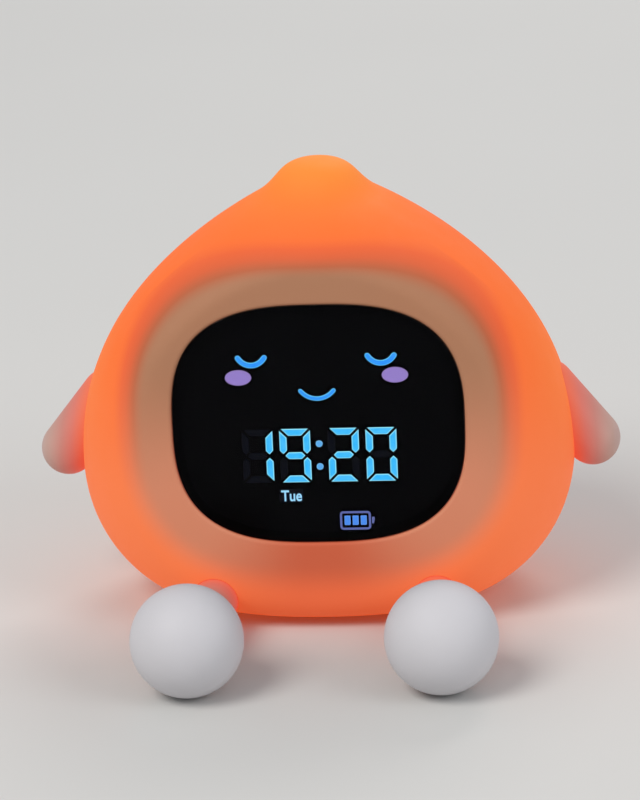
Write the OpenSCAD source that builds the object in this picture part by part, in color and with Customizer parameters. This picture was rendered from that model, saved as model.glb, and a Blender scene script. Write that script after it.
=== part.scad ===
// Kids alarm clock with night light: a soft drop-shaped silicone body with a smoked
// display face, two arms, two ball-footed legs, and controls in a rear panel.
// +X is right, +Y is back, +Z is up; the origin is on the table, under the body's
// widest section. Millimetres.

/* [Body] */
// Width of the silicone body at its widest
body_w = 131; // [124:1:140]
// Height of the body's top above the table
body_h = 118; // [114:1:124]
// Height of the widest section above the table
widest_h = 39; // [36:1:42]
// Depth from the widest section forward to the face, at the face's centre
face_depth = 34; // [32:0.5:36]
// Depth from the widest section back to the flat rear
back_depth = 35; // [34:0.5:38]
// Width of the flat underside
base_w = 70.4; // [66:0.4:76]
// Depth of the underside in front of the widest section
base_front = 26; // [24:0.5:28]
// Depth of the underside behind the widest section
base_back = 30; // [28:0.5:32]
// Height of the silicone's lower edge above the table
base_lift = 1; // [0.6:0.1:1.4]
// Thickness of the silicone
wall = 2.4; // [2:0.1:2.8]

/* [Crown] */
// Slope of the shoulders below the tip, in degrees
shoulder_slope = 29.6; // [27:0.2:32]
// Width of the tip where it rises out of the shoulders
tip_w = 34; // [30:1:38]
// Height of the tip
tip_h = 9.6; // [8:0.2:11]
// Width of the tip's flattened top
tip_flat_w = 22; // [16:1:26]

/* [Face] */
// Height of the lens's centre above the table
face_h = 56.1; // [55:0.1:58]
// Backward tilt of the face, in degrees
face_tilt = 3; // [2:0.5:4]
// Width of the lens
lens_w = 75; // [72:0.5:77]
// Height of the lens
lens_h = 63; // [61:0.5:64]
// Squareness of the lens's outline, where 2 is an ellipse
lens_square = 2.83; // [2.5:0.01:3.2]
// Thickness of the lens
lens_t = 2; // [1.5:0.1:2.4]
// Depth of the lens's front below the face plane
lens_recess = 0.3; // [0.2:0.1:0.6]
// Thickness of the adhesive behind the lens
tape_t = 0.2; // [0.1:0.05:0.3]

/* [Display] */
// Height of a digit
digit_h = 14.4; // [13:0.1:15]
// Width of a digit
digit_w = 8; // [7.4:0.1:8.4]
// Width of a segment's stroke
stroke = 1.9; // [1.4:0.1:2.2]
// Distance between the two digits of a pair
digit_pitch = 9.7; // [9.4:0.1:10.2]
// Distance between the middles of the two pairs
pair_pitch = 22.2; // [21.6:0.1:23]
// Height of the digits' middle below the lens's centre
digit_drop = 8.5; // [8:0.1:9]
// Distance between the two eyes
eye_pitch = 33.2; // [30:0.2:36]
// Height of the eyes above the lens's centre
eye_rise = 16.7; // [16.2:0.1:17.4]
// Distance between the two cheeks
cheek_pitch = 40.2; // [38:0.2:42]
// Height of the cheeks above the lens's centre
cheek_rise = 12.5; // [11.8:0.1:12.8]
// Height of the mouth above the lens's centre
mouth_rise = 7.4; // [7:0.1:8]
// Depth of the light cells behind the lens
mask_t = 6; // [5:0.2:6.6]
// Thickness of the circuit boards
board_t = 1.6; // [1.2:0.2:1.6]

/* [Limbs] */
// Distance between the centres of the two ball feet
leg_pitch = 63.3; // [60:0.5:66]
// Distance between the two legs' axes where they end inside the body
leg_root_pitch = 56.4; // [54:0.2:58]
// Distance from the widest section forward to the feet's centres
leg_reach = 75; // [70:1:80]
// Diameter of a ball foot
foot_d = 28.5; // [26:0.5:31]
// Diameter of a leg
leg_d = 12; // [11:0.2:12.4]
// Height of a leg's axis where it ends inside the body
leg_root_h = 7.4; // [7.3:0.1:8]
// Radius of the fillet between a leg and its foot
leg_fillet = 4; // [3:0.5:6]
// Diameter of an arm
arm_d = 14.6; // [13:0.2:15.4]
// Distance between the shoulders' centres
shoulder_pitch = 117.2; // [114:0.4:119]
// Height of the shoulders' centres
shoulder_h = 54.2; // [52:0.2:56]
// Distance between the hands' centres
hand_pitch = 140.6; // [136:0.4:146]
// Height of the hands' centres
hand_h = 39.7; // [37:0.2:42]

/* [Rear panel] */
// Width of the rear panel
panel_w = 62; // [60:0.5:64]
// Height of the rear panel
panel_h = 48; // [47:0.5:50]
// Height of the panel's middle above the table
panel_mid = 44; // [43:0.5:45]
// Corner radius of the panel
panel_r = 12; // [9:0.5:14]
// Diameter of a button
button_d = 7; // [6:0.2:7.6]
// Distance between neighbouring buttons
button_pitch = 11; // [10.4:0.2:11.4]
// How far a button travels when pressed
button_travel = 0.8; // [0.5:0.1:1]
// How far the power switch's knob travels
knob_travel = 3; // [2:0.5:3.5]
// How far the controls stand out of the panel
control_proud = 1.2; // [0.8:0.1:1.6]
// Diameter of the speaker
speaker_d = 22; // [20:0.5:23]
// Diameter of a grille hole
grille_hole_d = 1.6; // [1.2:0.1:1.8]

/* [Inside] */
// Diameter of the battery cell
cell_d = 18.4; // [18:0.1:18.6]
// Length of the battery cell
cell_len = 65; // [60:1:66]
// Height of the night light's board above the table
light_h = 80; // [74:1:82]
// Diameter of the night light's board
light_board_d = 28; // [24:1:30]

/* [Clearances] */
// Gap between parts that are fixed to each other at curved or stepped seats
seat_gap = 0.15; // [0.1:0.05:0.25]
// Gap round the rear controls
slide_gap = 0.1; // [0.08:0.01:0.15]

/* [Hidden] */
$fn = 64;

silicone = [1, 0.62, 0.36];
white = [0.93, 0.92, 0.9];
smoke = [0.05, 0.05, 0.06];
dark = [0.12, 0.12, 0.13];
blue = [0.3, 0.7, 1];
lilac = [0.68, 0.55, 0.85];
board_green = [0.1, 0.32, 0.2];
steel = [0.75, 0.76, 0.78];

eps = 0.01;
face_square = 2.5;
round_square = 2;
base_square = 2.3;
front_swell = 10;
back_swell = 6;
under_slope = 3;
under_len = 14;
lower_bulge = 22.5;
upper_bulge = 21.5;
shoulder_len = 46;
tip_blend = 9;
flat_blend = 3;
columns = 48;
under_rings = 7;
flank_rings = 12;
crown_rings = 7;
last_ring = 2.93;

// ---------- curves ----------

function bezier(p, t) =
    p[0] * pow(1 - t, 3) + 3 * p[1] * t * pow(1 - t, 2) + 3 * p[2] * t * t * (1 - t) + p[3] * pow(t, 3);

function soft_min(a, b, k) =
    let (h = max(k - abs(a - b), 0) / k)
    min(a, b) - h * h * k / 4;

// Points round a superellipse with the half sizes a and b
function oval(a, b, square, steps = 72) =
    [for (i = [0:steps - 1])
        let (c = cos(360 * i / steps), s = sin(360 * i / steps))
        [c, s] * pow(pow(abs(c) / a, square) + pow(abs(s) / b, square), -1 / square)];

// Points round a plan outline whose front and back halves differ in depth
function plan_outline(half_w, front, back, steps = 72) =
    [for (i = [0:steps - 1])
        let (c = cos(360 * i / steps), s = sin(360 * i / steps), b = s < 0 ? front : back)
        [c, s] * pow(pow(abs(c) / half_w, base_square) + pow(abs(s) / b, base_square), -1 / base_square)];

// ---------- the body's outer surface ----------
// Each station of the profile is [half width, front depth, back depth, height,
// squareness in front, squareness behind].

under_dx = under_len * cos(under_slope);
under_dz = under_len * sin(under_slope);
tip_root_h = body_h - tip_h;
shoulder_r = tip_w / 2 + shoulder_len * cos(shoulder_slope);
shoulder_z = tip_root_h - shoulder_len * sin(shoulder_slope);
tip_r = tip_w / 2 - tip_blend * cos(shoulder_slope);
tip_z = tip_root_h + tip_blend * sin(shoulder_slope);

base_edge = [base_w / 2, base_front, base_back, base_lift, base_square, round_square];
base_out = [base_w / 2 + under_dx, base_front + under_dx, base_back + under_dx * 0.6,
            base_lift + under_dz, base_square, round_square];
low_flank = [body_w / 2, face_depth + front_swell, back_depth + back_swell,
             widest_h - lower_bulge, face_square, round_square];
widest = [body_w / 2, face_depth + front_swell, back_depth + back_swell,
          widest_h, face_square, round_square];
high_flank = [body_w / 2, face_depth + front_swell, back_depth + back_swell,
              widest_h + upper_bulge, face_square, round_square];
shoulder = [shoulder_r, shoulder_r, shoulder_r, shoulder_z, base_square, round_square];
tip_root = [tip_w / 2, tip_w / 2, tip_w / 2, tip_root_h, round_square, round_square];
tip_rise = [tip_r, tip_r, tip_r, tip_z, round_square, round_square];
tip_edge = [tip_flat_w / 2, tip_flat_w / 2, tip_flat_w / 2, body_h, round_square, round_square];
tip_top = [0, 0, 0, body_h, round_square, round_square];

function station(s) =
    s < 1 ? bezier([base_edge, base_out, low_flank, widest], s)
    : s < 2 ? bezier([widest, high_flank, shoulder, tip_root], s - 1)
    : bezier([tip_root, tip_rise, tip_edge, tip_top], s - 2);

function face_plane(z) = face_depth - (z - face_h) * tan(face_tilt);

function skin(s, angle) =
    let (q = station(s),
         c = cos(angle),
         t = sin(angle),
         square = t < 0 ? q[4] : q[5],
         m = pow(pow(abs(c), square) + pow(abs(t), square), -1 / square),
         y = (t < 0 ? q[1] : q[2]) * t * m)
    [q[0] * c * m,
     t < 0 ? -soft_min(-y, face_plane(q[3]), flat_blend) : soft_min(y, back_depth, flat_blend),
     q[3]];

function skin_normal(s, angle) =
    let (up = skin(min(s + 0.01, last_ring), angle) - skin(max(s - 0.01, 0), angle),
         round = skin(s, angle + 1) - skin(s, angle - 1),
         n = cross(round, up))
    n / norm(n);

// Ring positions along the profile
rings = concat([for (i = [0:under_rings - 1]) i / under_rings],
               [for (i = [0:flank_rings - 1]) 1 + i / flank_rings],
               [for (i = [0:crown_rings]) 2 + (last_ring - 2) * i / crown_rings]);

function mean(points) =
    let (total = [for (i = 0, sum = [0, 0, 0]; i <= len(points); i = i + 1,
                       sum = i <= len(points) ? sum + points[i - 1] : sum) sum])
    total[len(points)] / len(points);

// Closed solid through rings of points, each with the same number of columns
module loft(ring_points) {
    n = len(ring_points[0]);
    last = len(ring_points) - 1;
    bottom = n * (last + 1);
    points = concat([for (ring = ring_points) each ring],
                    [mean(ring_points[0]), mean(ring_points[last])]);
    sides = [for (i = [0:last - 1]) for (j = [0:n - 1])
        let (a = i * n + j, b = i * n + (j + 1) % n)
        each [[a, a + n, b + n], [a, b + n, b]]];
    floor_faces = [for (j = [0:n - 1]) [bottom, j, (j + 1) % n]];
    roof_faces = [for (j = [0:n - 1]) [bottom + 1, last * n + (j + 1) % n, last * n + j]];
    polyhedron(points, concat(sides, floor_faces, roof_faces));
}

module body_form(inset) {
    loft([for (s = rings) [for (j = [0:columns - 1])
        skin(s, 360 * j / columns) - inset * skin_normal(s, 360 * j / columns)]]);
}

// ---------- places ----------

// Local frame of the face: x right, y into the body from the face plane, z up
module at_face() {
    translate([0, -face_depth, face_h])
        rotate([-face_tilt, 0, 0])
            children();
}

// Prism whose outline is drawn as seen from the front, from depth y0 to depth y1
module from_face(y0, y1) {
    translate([0, y1, 0])
        rotate([90, 0, 0])
            linear_extrude(y1 - y0)
                children();
}

module lens_outline(grow) {
    polygon(oval(lens_w / 2 + grow, lens_h / 2 + grow, lens_square));
}

foot_r = foot_d / 2;
leg_end_y = 25;
leg_run = leg_reach - leg_end_y;
leg_toe_in = (leg_pitch - leg_root_pitch) / 2;
leg_len = norm([leg_toe_in, leg_run, foot_r - leg_root_h]);
leg_lean = acos(leg_run / leg_len);
leg_drop = acos((leg_root_h - foot_r) / leg_len);

// Local frame of a leg: z runs from the foot's centre along the leg into the body
module at_leg(side) {
    translate([side * leg_pitch / 2, -leg_reach, foot_r])
        rotate([0, leg_drop, atan2(leg_run, -side * leg_toe_in)])
            children();
}

arm_drop = atan2(shoulder_h - hand_h, (hand_pitch - shoulder_pitch) / 2);
arm_len = norm([shoulder_h - hand_h, (hand_pitch - shoulder_pitch) / 2]);

// Local frame of the right arm: z runs from the shoulder's centre to the hand's
module at_arm() {
    translate([shoulder_pitch / 2, 0, shoulder_h])
        rotate([0, 90 + arm_drop, 0])
            children();
}

module both_sides() {
    children();
    mirror([1, 0, 0])
        children();
}

module panel_outline(grow) {
    r = panel_r + grow;
    half = [panel_w / 2 - panel_r, panel_h / 2 - panel_r];
    corner = [for (q = [0:3]) for (i = [0:8])
        let (a = 90 * q + 90 * i / 8, sx = q == 0 || q == 3 ? 1 : -1, sz = q < 2 ? 1 : -1)
        [sx * half[0] + r * cos(a), sz * half[1] + r * sin(a)]];
    polygon(corner);
}

// Prism along Y at the rear, its outline drawn as seen from the front
module rear_prism(y0, y1) {
    translate([0, y1, 0])
        rotate([90, 0, 0])
            linear_extrude(y1 - y0)
                children();
}

module along_y(x, y0, z, r, len) {
    translate([x, y0, z])
        rotate([-90, 0, 0])
            cylinder(r = r, h = len);
}

// ---------- seats shared by several parts ----------

collar_y = lens_recess + lens_t + tape_t;
lip_back = collar_y - seat_gap;
collar_grow = 2;
collar_inset = 1.2;
window_gap = seat_gap;
flange_y = 5.4;
flange_t = 1.8;
flange_grow = 5.8;
flange_below = 3;
mask_back = collar_y + mask_t;
board_back = mask_back + board_t;
collar_over = 0.5;
collar_back = board_back + collar_over;
foot_gap = 0.8;
frame_foot_y = collar_back + foot_gap;
frame_foot_x = 24;
frame_foot_t = 2.4;
frame_foot_w = 8;
frame_foot_drop = 0.5;
frame_foot_z = -lens_h / 2 - frame_foot_drop;
frame_boss_r = 2.6;
seat_room = 12;

opening_inset = 1.2;
opening_w = base_w / 2 - opening_inset;
opening_f = base_front - opening_inset;
opening_b = base_back - opening_inset;
pad_t = base_lift + 0.4;
lip_top = base_lift + wall;
plate_t = 2;
plate_z = lip_top + seat_gap;
plate_grow = 5;
floor_z = plate_z + plate_t;
floor_t = 2;
deck_z = floor_z + floor_t;

panel_gap = 0.25;
panel_sink = 0.2;
panel_t = 4.4;
panel_face = back_depth - panel_sink;
panel_inside = panel_face - panel_t;
panel_flange_grow = 3.5;
rear_lip = back_depth - wall;
panel_flange_t = rear_lip - seat_gap - panel_inside;
screw_edge_x = 5;
screw_edge_z = 6.5;
screw_x = panel_w / 2 - screw_edge_x;
screw_low = panel_mid - panel_h / 2 + screw_edge_z;
screw_high = panel_mid + panel_h / 2 - screw_edge_z;
head_sink = 1.6;
panel_screw_len = 9;

button_flange_t = 1.2;
button_end = panel_inside - slide_gap - button_flange_t;
switch_h = 4;
switch_top = button_end - button_travel - slide_gap;
board_rear = switch_top - switch_h;
board_front = board_rear - board_t;
control_tip = panel_face + control_proud;
button_drop = 7.5;
button_z = panel_mid - button_drop;
socket_drop = 17.5;
socket_z = panel_mid - socket_drop;
board_half_w = 23;
board_low = 14;
board_over = 1.5;
board_high = panel_mid + board_over;
board_edge = 2.4;
board_screw_x = board_half_w - board_edge;
board_screw_z = [board_low + board_edge + 0.6, board_high - board_edge];
board_screw_grip = 4;

cell_y = 7.6;
cell_lift = 2;
cell_z = deck_z + cell_lift + cell_d / 2;
column_r = 4;
column_head_r = 10;
column_foot_r = 7;
column_foot_h = 6;
column_head_t = 2;
column_gap = 1.4;
column_y = cell_y - cell_d / 2 - column_r - column_gap;
column_top = light_h;
socket_x = -11;
knob_x = 9;
grille_rise = 11.5;
grille_z = panel_mid + grille_rise;

module base_outline(grow) {
    polygon(plan_outline(opening_w + grow, opening_f + grow, opening_b + grow));
}

// ---------- screws ----------

// Countersunk screw with its head's top at z = 0 and its shank running up
module flat_screw(r, len) {
    difference() {
        rotate_extrude()
            polygon([[0, 0], [2 * r, 0], [r, r], [r, len - r], [0.3 * r, len], [0, len]]);
        cross_slot(r, r * 0.6);
    }
}

// Pan-head screw with its head below z = 0 and its shank running up
module pan_screw(r, len) {
    difference() {
        rotate_extrude()
            polygon([[0, -1.1 * r], [1.3 * r, -1.1 * r], [1.9 * r, -0.6 * r], [1.9 * r, 0],
                     [r, 0], [r, len - r], [0.3 * r, len], [0, len]]);
        translate([0, 0, -1.1 * r])
            cross_slot(r, r * 0.6);
    }
}

module cross_slot(r, depth) {
    for (a = [0, 90])
        rotate(a)
            translate([-r * 0.9, -r * 0.18, -eps])
                cube([r * 1.8, r * 0.36, depth]);
}

base_screw_r = 1.25;
base_screw_len = 9;
base_screw_at = [[26, -8], [-26, -8], [21, 21], [-21, 21]];

// ---------- silicone ----------

module shade() {
    color(silicone)
        difference() {
            body_form(0);
            body_form(wall);
            translate([0, 0, -1])
                linear_extrude(lip_top + 1 + eps)
                    base_outline(0);
            translate([0, 0, lip_top])
                linear_extrude(plate_t + 1)
                    base_outline(plate_grow + 2 * seat_gap);
            at_face() window_cut();
            rear_cut();
            both_sides() arm_hole();
            for (side = [-1, 1])
                leg_hole(side);
            for (side = [-1, 1])
                peg_room(side);
        }
}

window_ease = 0.6;
rear_ease = 0.5;

// Opening for the lens, with an eased front edge and a flat seat behind
module window_cut() {
    edge = window_ease;
    from_face(-edge, lip_back + seat_room)
        lens_outline(window_gap);
    hull() {
        from_face(-edge, -edge + eps)
            lens_outline(window_gap + 2 * edge);
        from_face(edge, edge + eps)
            lens_outline(window_gap);
    }
    hull() {
        from_face(lip_back, lip_back + eps)
            lens_outline(collar_grow + 2 * seat_gap);
        from_face(lip_back + seat_room, lip_back + seat_room + eps)
            lens_outline(collar_grow + 2 * seat_gap);
    }
}

// Opening for the rear panel, with an eased edge and a flat seat inside
module rear_cut() {
    edge = rear_ease;
    seat_grow = panel_flange_grow + 2 * seat_gap;
    translate([0, 0, panel_mid]) {
        rear_prism(panel_inside - 3, back_depth + 2)
            panel_outline(panel_gap);
        hull() {
            rear_prism(back_depth - edge, back_depth - edge + eps)
                panel_outline(panel_gap);
            rear_prism(back_depth + edge, back_depth + edge + eps)
                panel_outline(panel_gap + 2 * edge);
        }
        hull() {
            rear_prism(rear_lip - seat_room / 2, rear_lip - seat_room / 2 + eps)
                panel_outline(seat_grow);
            rear_prism(rear_lip - eps, rear_lip)
                panel_outline(seat_grow);
        }
    }
}

module arm_hole() {
    at_arm()
        hull()
            for (z = [0, arm_len])
                translate([0, 0, z])
                    sphere(d = arm_d + 2 * seat_gap, $fn = 36);
}

module leg_hole(side) {
    at_leg(side)
        hull()
            for (z = [leg_len * 0.3, leg_len + 2 * seat_gap])
                translate([0, 0, z])
                    cylinder(d = leg_d + 2 * seat_gap, h = eps, $fn = 48);
}

module arm() {
    r = arm_d / 2;
    flange_r = 8;
    flange_x = shoulder_pitch / 2 - 4.6;
    at_arm()
        rotate_extrude()
            polygon(concat([for (i = [-9:0]) [r * cos(10 * i), r * sin(10 * i)]],
                           [for (i = [0:9]) [r * cos(10 * i), arm_len + r * sin(10 * i)]]));
    translate([flange_x, 0, shoulder_h - 3])
        rotate([0, 90, 0])
            cylinder(r = flange_r, h = 1.6);
}

module right_arm() {
    color(white)
        arm();
}

module left_arm() {
    color(white)
        mirror([1, 0, 0])
            arm();
}

peg_r = 3;
peg_len = 18;
bore_r = peg_r + seat_gap;

// Ball foot, fillet and leg in one profile, with a blind bore for the chassis peg
module leg(side) {
    leg_r = leg_d / 2;
    fillet_z = sqrt(pow(foot_r + leg_fillet, 2) - pow(leg_r + leg_fillet, 2));
    join = atan2(fillet_z, leg_r + leg_fillet);
    ball = [for (i = [0:18]) let (a = -90 + (90 + join) * i / 18) [foot_r * cos(a), foot_r * sin(a)]];
    fillet = [for (i = [1:6]) let (a = 180 + join * (1 - i / 6))
        [leg_r + leg_fillet + leg_fillet * cos(a), fillet_z + leg_fillet * sin(a)]];
    bore_z = leg_len - peg_len - seat_gap;
    at_leg(side)
        rotate_extrude()
            polygon(concat([for (p = ball) [max(p[0], 0), p[1]]], fillet,
                           [[leg_r, leg_len - 1], [leg_r - 1, leg_len], [bore_r, leg_len],
                            [bore_r, bore_z], [0, bore_z]]));
}

module left_leg() {
    color(white)
        leg(-1);
}

module right_leg() {
    color(white)
        leg(1);
}

// ---------- base and chassis ----------

module base_pad() {
    color(dark)
        difference() {
            linear_extrude(pad_t)
                base_outline(-0.5);
            for (side = [-1, 1])
                leg_room(side);
        }
}

// Room round a leg, cut from what stands beside it
module leg_room(side) {
    at_leg(side)
        cylinder(d = leg_d + 4 * seat_gap, h = leg_len + 2 * seat_gap);
}

// Room round a peg's root, behind the leg's end
module peg_room(side) {
    at_leg(side)
        cylinder(r = peg_r + 2 * seat_gap, h = leg_len + peg_root + 2 * seat_gap);
}

module base_plate() {
    color(white)
        difference() {
            union() {
                translate([0, 0, pad_t])
                    linear_extrude(plate_z + eps - pad_t)
                        base_outline(-seat_gap);
                translate([0, 0, plate_z])
                    linear_extrude(plate_t)
                        base_outline(plate_grow);
            }
            for (side = [-1, 1])
                leg_room(side);
            for (side = [-1, 1])
                peg_room(side);
            for (p = base_screw_at)
                translate([p[0], p[1], pad_t - eps]) {
                    cylinder(r1 = 2 * base_screw_r + seat_gap, r2 = base_screw_r + seat_gap,
                             h = base_screw_r + eps);
                    cylinder(r = base_screw_r + seat_gap, h = plate_t * 4);
                }
        }
}

module base_screws() {
    color(steel)
        for (p = base_screw_at)
            translate([p[0], p[1], pad_t])
                flat_screw(base_screw_r, base_screw_len);
}

wall_x = 24;
wall_w = 6;
wall_y = 18;
front_wall_y = -leg_end_y + leg_d / 2 * sin(leg_lean) + seat_gap;
front_wall_t = 2.4;
front_wall_gap = 2;
front_wall_top = face_h + frame_foot_z - frame_boss_r - front_wall_gap;
boss_h = 5;
base_boss_r = 3;
deck_inset = 2.4;
peg_root = 2.2;
cell_play = 0.3;
rib_t = 2;
rib_x = 18;
rib_len = 10;
rib_h = 8;
cradle_x = 25;
cradle_w = 6;
cradle_h = 6.5;
stop_t = 2;
stop_w = 12;
stop_h = 13;
tray_t = 1.6;
wall_over = 4;
wall_under = 5;
strap_boss_r = 2.6;
strap_boss_h = 3;

// Inner moulding: deck, leg pegs, battery cradle, light column and rear walls
module chassis() {
    color(white)
        difference() {
            union() {
                translate([0, 0, floor_z])
                    linear_extrude(floor_t)
                        base_outline(plate_grow - deck_inset);
                for (p = base_screw_at)
                    translate([p[0], p[1], deck_z - eps])
                        cylinder(r = base_boss_r, h = boss_h);
                leg_wall();
                for (side = [-1, 1])
                    at_leg(side)
                        translate([0, 0, leg_len - peg_len])
                            cylinder(r = peg_r, h = peg_len + peg_root);
                cradle();
                light_column();
                both_sides() rear_wall();
                both_sides() frame_foot();
            }
            pilot_holes();
            translate([-cell_len / 2 - cell_play, cell_y, cell_z])
                rotate([0, 90, 0])
                    cylinder(d = cell_d + 2 * seat_gap, h = cell_len + 2 * cell_play);
        }
}

// Wall between the leg pegs, with two ribs; it ends below the face frame's screws
module leg_wall() {
    half = leg_root_pitch / 2 + peg_r;
    translate([-half, front_wall_y, floor_z])
        cube([2 * half, front_wall_t, front_wall_top - floor_z]);
    for (x = [-rib_x, rib_x])
        translate([x - rib_t / 2, front_wall_y, deck_z - eps])
            cube([rib_t, rib_len, rib_h]);
}

// Two saddles and two end stops on one tray, with bosses for the strap
module cradle() {
    stop_x = cell_len / 2 + cell_play;
    translate([-stop_x - stop_t, cell_y - stop_w / 2, deck_z - eps])
        cube([2 * (stop_x + stop_t), stop_w, tray_t]);
    for (x = [-cradle_x, cradle_x])
        translate([x - cradle_w / 2, cell_y - cell_d / 2, deck_z - eps])
            cube([cradle_w, cell_d, cradle_h]);
    for (x = [-stop_x - stop_t, stop_x])
        translate([x, cell_y - stop_w / 2, deck_z - eps])
            cube([stop_t, stop_w, stop_h]);
    for (side = [-1, 1])
        translate([strap_x, cell_y + side * strap_foot_y, deck_z - eps])
            cylinder(r = strap_boss_r, h = strap_boss_h);
}

module light_column() {
    translate([0, column_y, 0])
        rotate_extrude()
            polygon([
                [0, deck_z - eps],
                [column_foot_r, deck_z - eps],
                [column_r, deck_z + column_foot_h],
                [column_r, column_top - column_head_t - (column_head_r - column_r)],
                [column_head_r, column_top - column_head_t],
                [column_head_r, column_top],
                [0, column_top]
            ]);
}

// Upright behind one side of the panel, with an arm out to the main board's corner
module rear_wall() {
    arm_x = board_screw_x - board_edge;
    translate([wall_x, wall_y, deck_z - eps])
        cube([wall_w, wall_w, screw_high + wall_over - deck_z]);
    translate([wall_x, wall_y, screw_low - wall_under])
        cube([wall_w, panel_inside - wall_y, screw_high - screw_low + wall_over + wall_under]);
    translate([arm_x, wall_y, deck_z - eps])
        cube([wall_x - arm_x + eps, board_front - wall_y, board_high - deck_z]);
}

// Upright from the deck that the face frame is screwed to, square to the tilted face
module frame_foot() {
    low = (deck_z - face_h + frame_foot_y * sin(face_tilt)) / cos(face_tilt) - floor_t / 2;
    difference() {
        at_face()
            translate([frame_foot_x - frame_foot_w / 2, frame_foot_y, low])
                cube([frame_foot_w, frame_foot_t, frame_foot_z + frame_boss_r + foot_gap - low]);
        leg_room(1);
    }
}

pilot_r = 0.9;
screw_play = 0.1;
light_screw_len = 8;
strap_screw_len = 4;
frame_screw_len = 7;

module pilot_holes() {
    for (p = base_screw_at)
        translate([p[0], p[1], floor_z - eps])
            cylinder(r = base_screw_r, h = base_screw_len);
    for (x = [-screw_x, screw_x])
        for (z = [screw_low, screw_high])
            along_y(x, panel_face - head_sink - panel_screw_len - 1, z, panel_screw_r, panel_screw_len);
    for (x = [-board_screw_x, board_screw_x])
        for (z = board_screw_z)
            along_y(x, board_front - board_screw_grip - 1, z, pilot_r, board_screw_grip + 2);
    translate([0, column_y, column_top - light_screw_len])
        cylinder(r = pilot_r, h = light_screw_len + 1);
    for (side = [-1, 1])
        translate([strap_x, cell_y + side * strap_foot_y, deck_z + strap_boss_h - strap_screw_len])
            cylinder(r = pilot_r, h = strap_screw_len + 1);
    at_face()
        for (x = [-frame_foot_x, frame_foot_x])
            along_y(x, frame_foot_y - 1, frame_foot_z, pilot_r + screw_play, frame_foot_t + 3);
}

// ---------- face ----------

// Opaque housing: a collar round the display, a flange behind the silicone and two bosses
module face_frame() {
    color(dark)
        at_face()
            difference() {
                union() {
                    from_face(collar_y, collar_back)
                        lens_outline(collar_grow);
                    from_face(flange_y, flange_y + flange_t)
                        intersection() {
                            lens_outline(flange_grow);
                            translate([-lens_w, -lens_h / 2 - flange_below])
                                square([2 * lens_w, 2 * lens_h]);
                        }
                    for (x = [-frame_foot_x, frame_foot_x])
                        along_y(x, flange_y, frame_foot_z, frame_boss_r, frame_foot_y - flange_y);
                }
                from_face(collar_y - 1, collar_back + 1)
                    lens_outline(-collar_inset);
                for (x = [-frame_foot_x, frame_foot_x])
                    along_y(x, flange_y + 1, frame_foot_z, pilot_r, 9);
            }
}

module frame_screws() {
    color(steel)
        at_face()
            for (x = [-frame_foot_x, frame_foot_x])
                translate([x, frame_foot_y + frame_foot_t, frame_foot_z])
                    rotate([90, 0, 0])
                        pan_screw(pilot_r, frame_screw_len);
}

module display_lens() {
    color(smoke)
        at_face()
            from_face(lens_recess, lens_recess + lens_t)
                lens_outline(0);
}

tape_edge = 0.4;
tape_w = 1.8;

module lens_tape() {
    color(dark)
        at_face()
            difference() {
                from_face(lens_recess + lens_t, collar_y)
                    lens_outline(-tape_edge);
                from_face(0, collar_y + 1)
                    lens_outline(-tape_edge - tape_w);
            }
}

// ---------- display ----------
// The cells are drawn once and used for the mask's holes and, shrunk a little all
// round, for the clear light guides that fill them.

mitre = 0.45;
cell_gap = 0.06;

// One digit's seven segments, as mitred outlines, shrunk by e
module digit_cells(e) {
    w = digit_w / 2 - e;
    h = digit_h / 2 - e;
    t = stroke - 2 * e;
    m = mitre + e;
    for (v = [-1, 1]) {
        polygon([[-w + m, v * h], [w - m, v * h], [w - t - m, v * (h - t)], [-w + t + m, v * (h - t)]]);
        for (u = [-1, 1])
            polygon([[u * w, v * (h - m)], [u * (w - t), v * (h - t - m)], [u * (w - t), v * (t / 2 + m)],
                     [u * (w - t / 2), v * m], [u * w, v * (t / 2 + m)]]);
    }
    polygon([[-w + t / 2 + m, 0], [-w + t + m, t / 2], [w - t - m, t / 2],
             [w - t / 2 - m, 0], [w - t - m, -t / 2], [-w + t + m, -t / 2]]);
}

digit_x = [for (side = [-1, 1]) for (k = [-1, 1]) side * pair_pitch / 2 + k * digit_pitch / 2];
colon_d = 1.85;
colon_rise = 3.05;
eye_w = 8.3;
eye_sag = 2;
eye_bow = 1;
eye_stroke = 1.5;
mouth_w = 9.7;
mouth_sag = 2.1;
mouth_bow = 0.8;
mouth_stroke = 1.2;
cheek_w = 6.9;
cheek_h = 4.2;
day_drop = 3.6;
day_at = [-7.7, -digit_drop - digit_h / 2 - day_drop];
day_size = [6.4, 3.8];
charge_edge = 5.3;
charge_at = [8.6, charge_edge - lens_h / 2];
charge_size = [8, 5];
charge_line = 0.55;

// Upward-curved stroke with round ends, its lowest centre point at the origin
module smile(w, sag, t) {
    half = (w - t) / 2;
    r = (half * half + sag * sag) / (2 * sag);
    span = asin(half / r);
    steps = 10;
    outer = [for (i = [0:steps]) let (a = -90 - span + 2 * span * i / steps)
        [(r + t / 2) * cos(a), r + (r + t / 2) * sin(a)]];
    right_end = [for (i = [1:3]) let (a = -90 + span + 45 * i)
        [r * cos(-90 + span) + t / 2 * cos(a), r + r * sin(-90 + span) + t / 2 * sin(a)]];
    inner = [for (i = [0:steps]) let (a = -90 + span - 2 * span * i / steps)
        [(r - t / 2) * cos(a), r + (r - t / 2) * sin(a)]];
    left_end = [for (i = [1:3]) let (a = 90 - span + 45 * i)
        [r * cos(-90 - span) + t / 2 * cos(a), r + r * sin(-90 - span) + t / 2 * sin(a)]];
    polygon(concat(outer, right_end, inner, left_end));
}

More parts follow.
